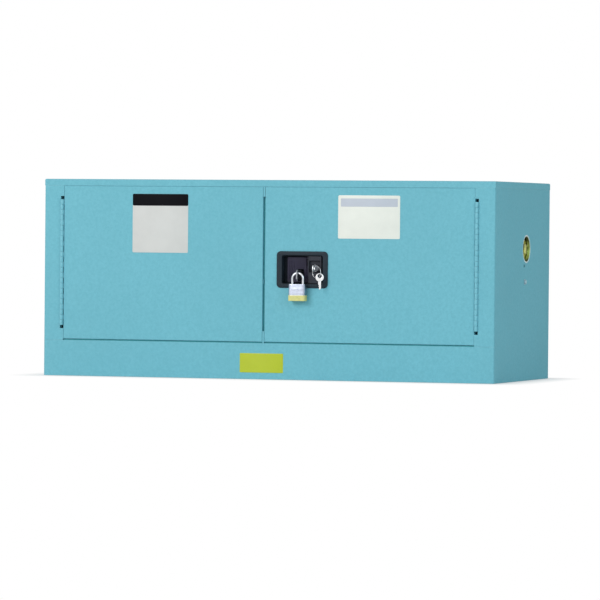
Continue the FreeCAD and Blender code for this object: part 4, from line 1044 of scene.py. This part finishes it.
def labels():
    """Blank plates and a blank sticker where the photograph has printed ones."""
    into_skin = 0.02
    for name, body, finish, box, thick, corner in (
        ("left_LabelPlate", "left_door", label_grey, (-327.6, -191.2, 287.9, 423.6), 0.35, 3.0),
        ("left_LabelBand", "left_door", label_black, (-327.6, -191.2, 396.3, 423.6), 0.45, 3.0),
        ("right_LabelPlate", "right_door", label_white, (172.7, 320.6, 324.4, 423.2), 0.35, 3.0),
        ("right_LabelBand", "right_door", label_pale, (179.0, 315.0, 397.5, 416.2), 0.42, 1.0),
        ("sill_Sticker", "cabinet", label_green, (-62.2, 43.1, 14.9, 59.4), 0.3, 2.0),
    ):
        form = Form()
        outline = rounded(*box, corner, 5)
        form.prism(outline, FRONT - thick, FRONT + into_skin, along_y, soft=0.08, steps=2)
        piece(name, form, body, finish)


# ---- stage --------------------------------------------------------------------------------------

def floor():
    """A pale floor that keeps the shadow near the object and turns white further off."""
    mesh = bpy.data.meshes.new("Floor")
    shaped = bmesh.new()
    bmesh.ops.create_circle(shaped, cap_ends=True, radius=40.0, segments=96)
    shaped.to_mesh(mesh)
    shaped.free()
    made = bpy.data.objects.new("Floor", mesh)
    bpy.context.collection.objects.link(made)
    made.location.z = -0.0005
    finish = Finish("FloorPale")
    tree = finish.tree
    grain = finish.spread(finish.noise(20.0, 3.0), 0.3, 0.7)
    tone = finish.mix(grain, (0.93, 0.93, 0.93), (0.96, 0.96, 0.96))
    normal = finish.bump(finish.noise(300.0, 2.0), 0.1, 0.0002)
    finish.finish(tone, 0.9, normal, Specular_IOR_Level=0.1)
    white = tree.nodes.new("ShaderNodeEmission")
    white.inputs["Strength"].default_value = 1.0
    split = finish.node("ShaderNodeSeparateXYZ", Vector=finish.place).node.outputs
    reach, nearest = 0.085, 0.35
    away = []
    for axis, half in (("X", SIDE * MM), ("Y", -FRONT * MM)):
        beyond = finish.calc("SUBTRACT", finish.calc("ABSOLUTE", split[axis]), half)
        beyond = finish.calc("MAXIMUM", beyond, 0.0)
        away.append(finish.times(beyond, beyond))
    far = finish.calc("SQRT", finish.calc("ADD", *away))
    far = finish.spread(far, 0.0, reach, nearest, 1.0)
    path = tree.nodes.new("ShaderNodeLightPath")
    seen = finish.calc("MAXIMUM", path.outputs["Is Camera Ray"], path.outputs["Is Glossy Ray"])
    seen = finish.calc("MAXIMUM", seen, path.outputs["Is Transmission Ray"])
    blend = tree.nodes.new("ShaderNodeMixShader")
    tree.links.new(finish.times(far, seen), blend.inputs[0])
    tree.links.new(finish.shader.outputs[0], blend.inputs[1])
    tree.links.new(white.outputs[0], blend.inputs[2])
    output = next(node for node in tree.nodes if node.type == "OUTPUT_MATERIAL")
    tree.links.new(blend.outputs[0], output.inputs[0])
    mesh.materials.append(finish.material)


def world(level):
    """White to the eye and in reflections, and a plain soft light on everything else."""
    made = bpy.data.worlds.new("Studio")
    bpy.context.scene.world = made
    made.use_nodes = True
    tree = made.node_tree
    tree.nodes.clear()
    output = tree.nodes.new("ShaderNodeOutputWorld")
    soft, seen = tree.nodes.new("ShaderNodeBackground"), tree.nodes.new("ShaderNodeBackground")
    soft.inputs["Strength"].default_value = level
    for background in (soft, seen):
        background.inputs["Color"].default_value = (1, 1, 1, 1)
    path = tree.nodes.new("ShaderNodeLightPath")
    first, second = tree.nodes.new("ShaderNodeMath"), tree.nodes.new("ShaderNodeMath")
    first.operation = second.operation = "MAXIMUM"
    tree.links.new(path.outputs["Is Camera Ray"], first.inputs[0])
    tree.links.new(path.outputs["Is Glossy Ray"], first.inputs[1])
    tree.links.new(first.outputs[0], second.inputs[0])
    tree.links.new(path.outputs["Is Transmission Ray"], second.inputs[1])
    blend = tree.nodes.new("ShaderNodeMixShader")
    tree.links.new(second.outputs[0], blend.inputs[0])
    tree.links.new(soft.outputs[0], blend.inputs[1])
    tree.links.new(seen.outputs[0], blend.inputs[2])
    tree.links.new(blend.outputs[0], output.inputs[0])


def lamp(name, place, target, width, height, power, colour=(1, 1, 1)):
    """A rectangular lamp at a place, facing its target."""
    light = bpy.data.lights.new(name, "AREA")
    light.shape = "RECTANGLE"
    light.size, light.size_y = width, height
    light.energy = power
    light.color = colour
    made = bpy.data.objects.new(name, light)
    bpy.context.collection.objects.link(made)
    made.location = place
    made.rotation_euler = (Vector(target) - Vector(place)).to_track_quat("-Z", "Y").to_euler()


def camera():
    """The camera as solved from the photograph's edges."""
    yaw, pitch, roll = 0.3241, 0.015, 0.009
    level = math.cos(pitch)
    forward = Vector((-math.sin(yaw) * level, math.cos(yaw) * level, -math.sin(pitch)))
    right = forward.cross(Vector((0, 0, 1))).normalized()
    up = right.cross(forward)
    c, s = math.cos(roll), math.sin(roll)
    right, up = right * c + up * s, up * c - right * s
    turn = Matrix((right, up, -forward)).transposed().to_4x4()
    data = bpy.data.cameras.new("Camera")
    data.sensor_width = 36.0
    data.sensor_fit = "HORIZONTAL"
    data.lens = 281.378
    data.clip_end = 200.0
    made = bpy.data.objects.new("Camera", data)
    bpy.context.collection.objects.link(made)
    made.matrix_world = Matrix.Translation((3.4991, -10.3983, 0.3440)) @ turn
    bpy.context.scene.camera = made


dress_nodes()
hinges()
handle_dish()
paddle_parts()
latch_rods()
trays()
seams()
lock_parts()
padlock()
side_screws()
vent_plugs()
labels()
camera()
floor()
world(0.5)
lamp("Key", (-2.2, -5.2, 2.6), (0.0, -0.2, 0.2), 3.0, 2.4, 150.0)
lamp("Fill", (4.6, -3.2, 2.2), (0.3, 0.0, 0.2), 2.6, 2.4, 53.0, (0.64, 0.93, 1.0))
bpy.context.scene.view_settings.view_transform = "Standard"
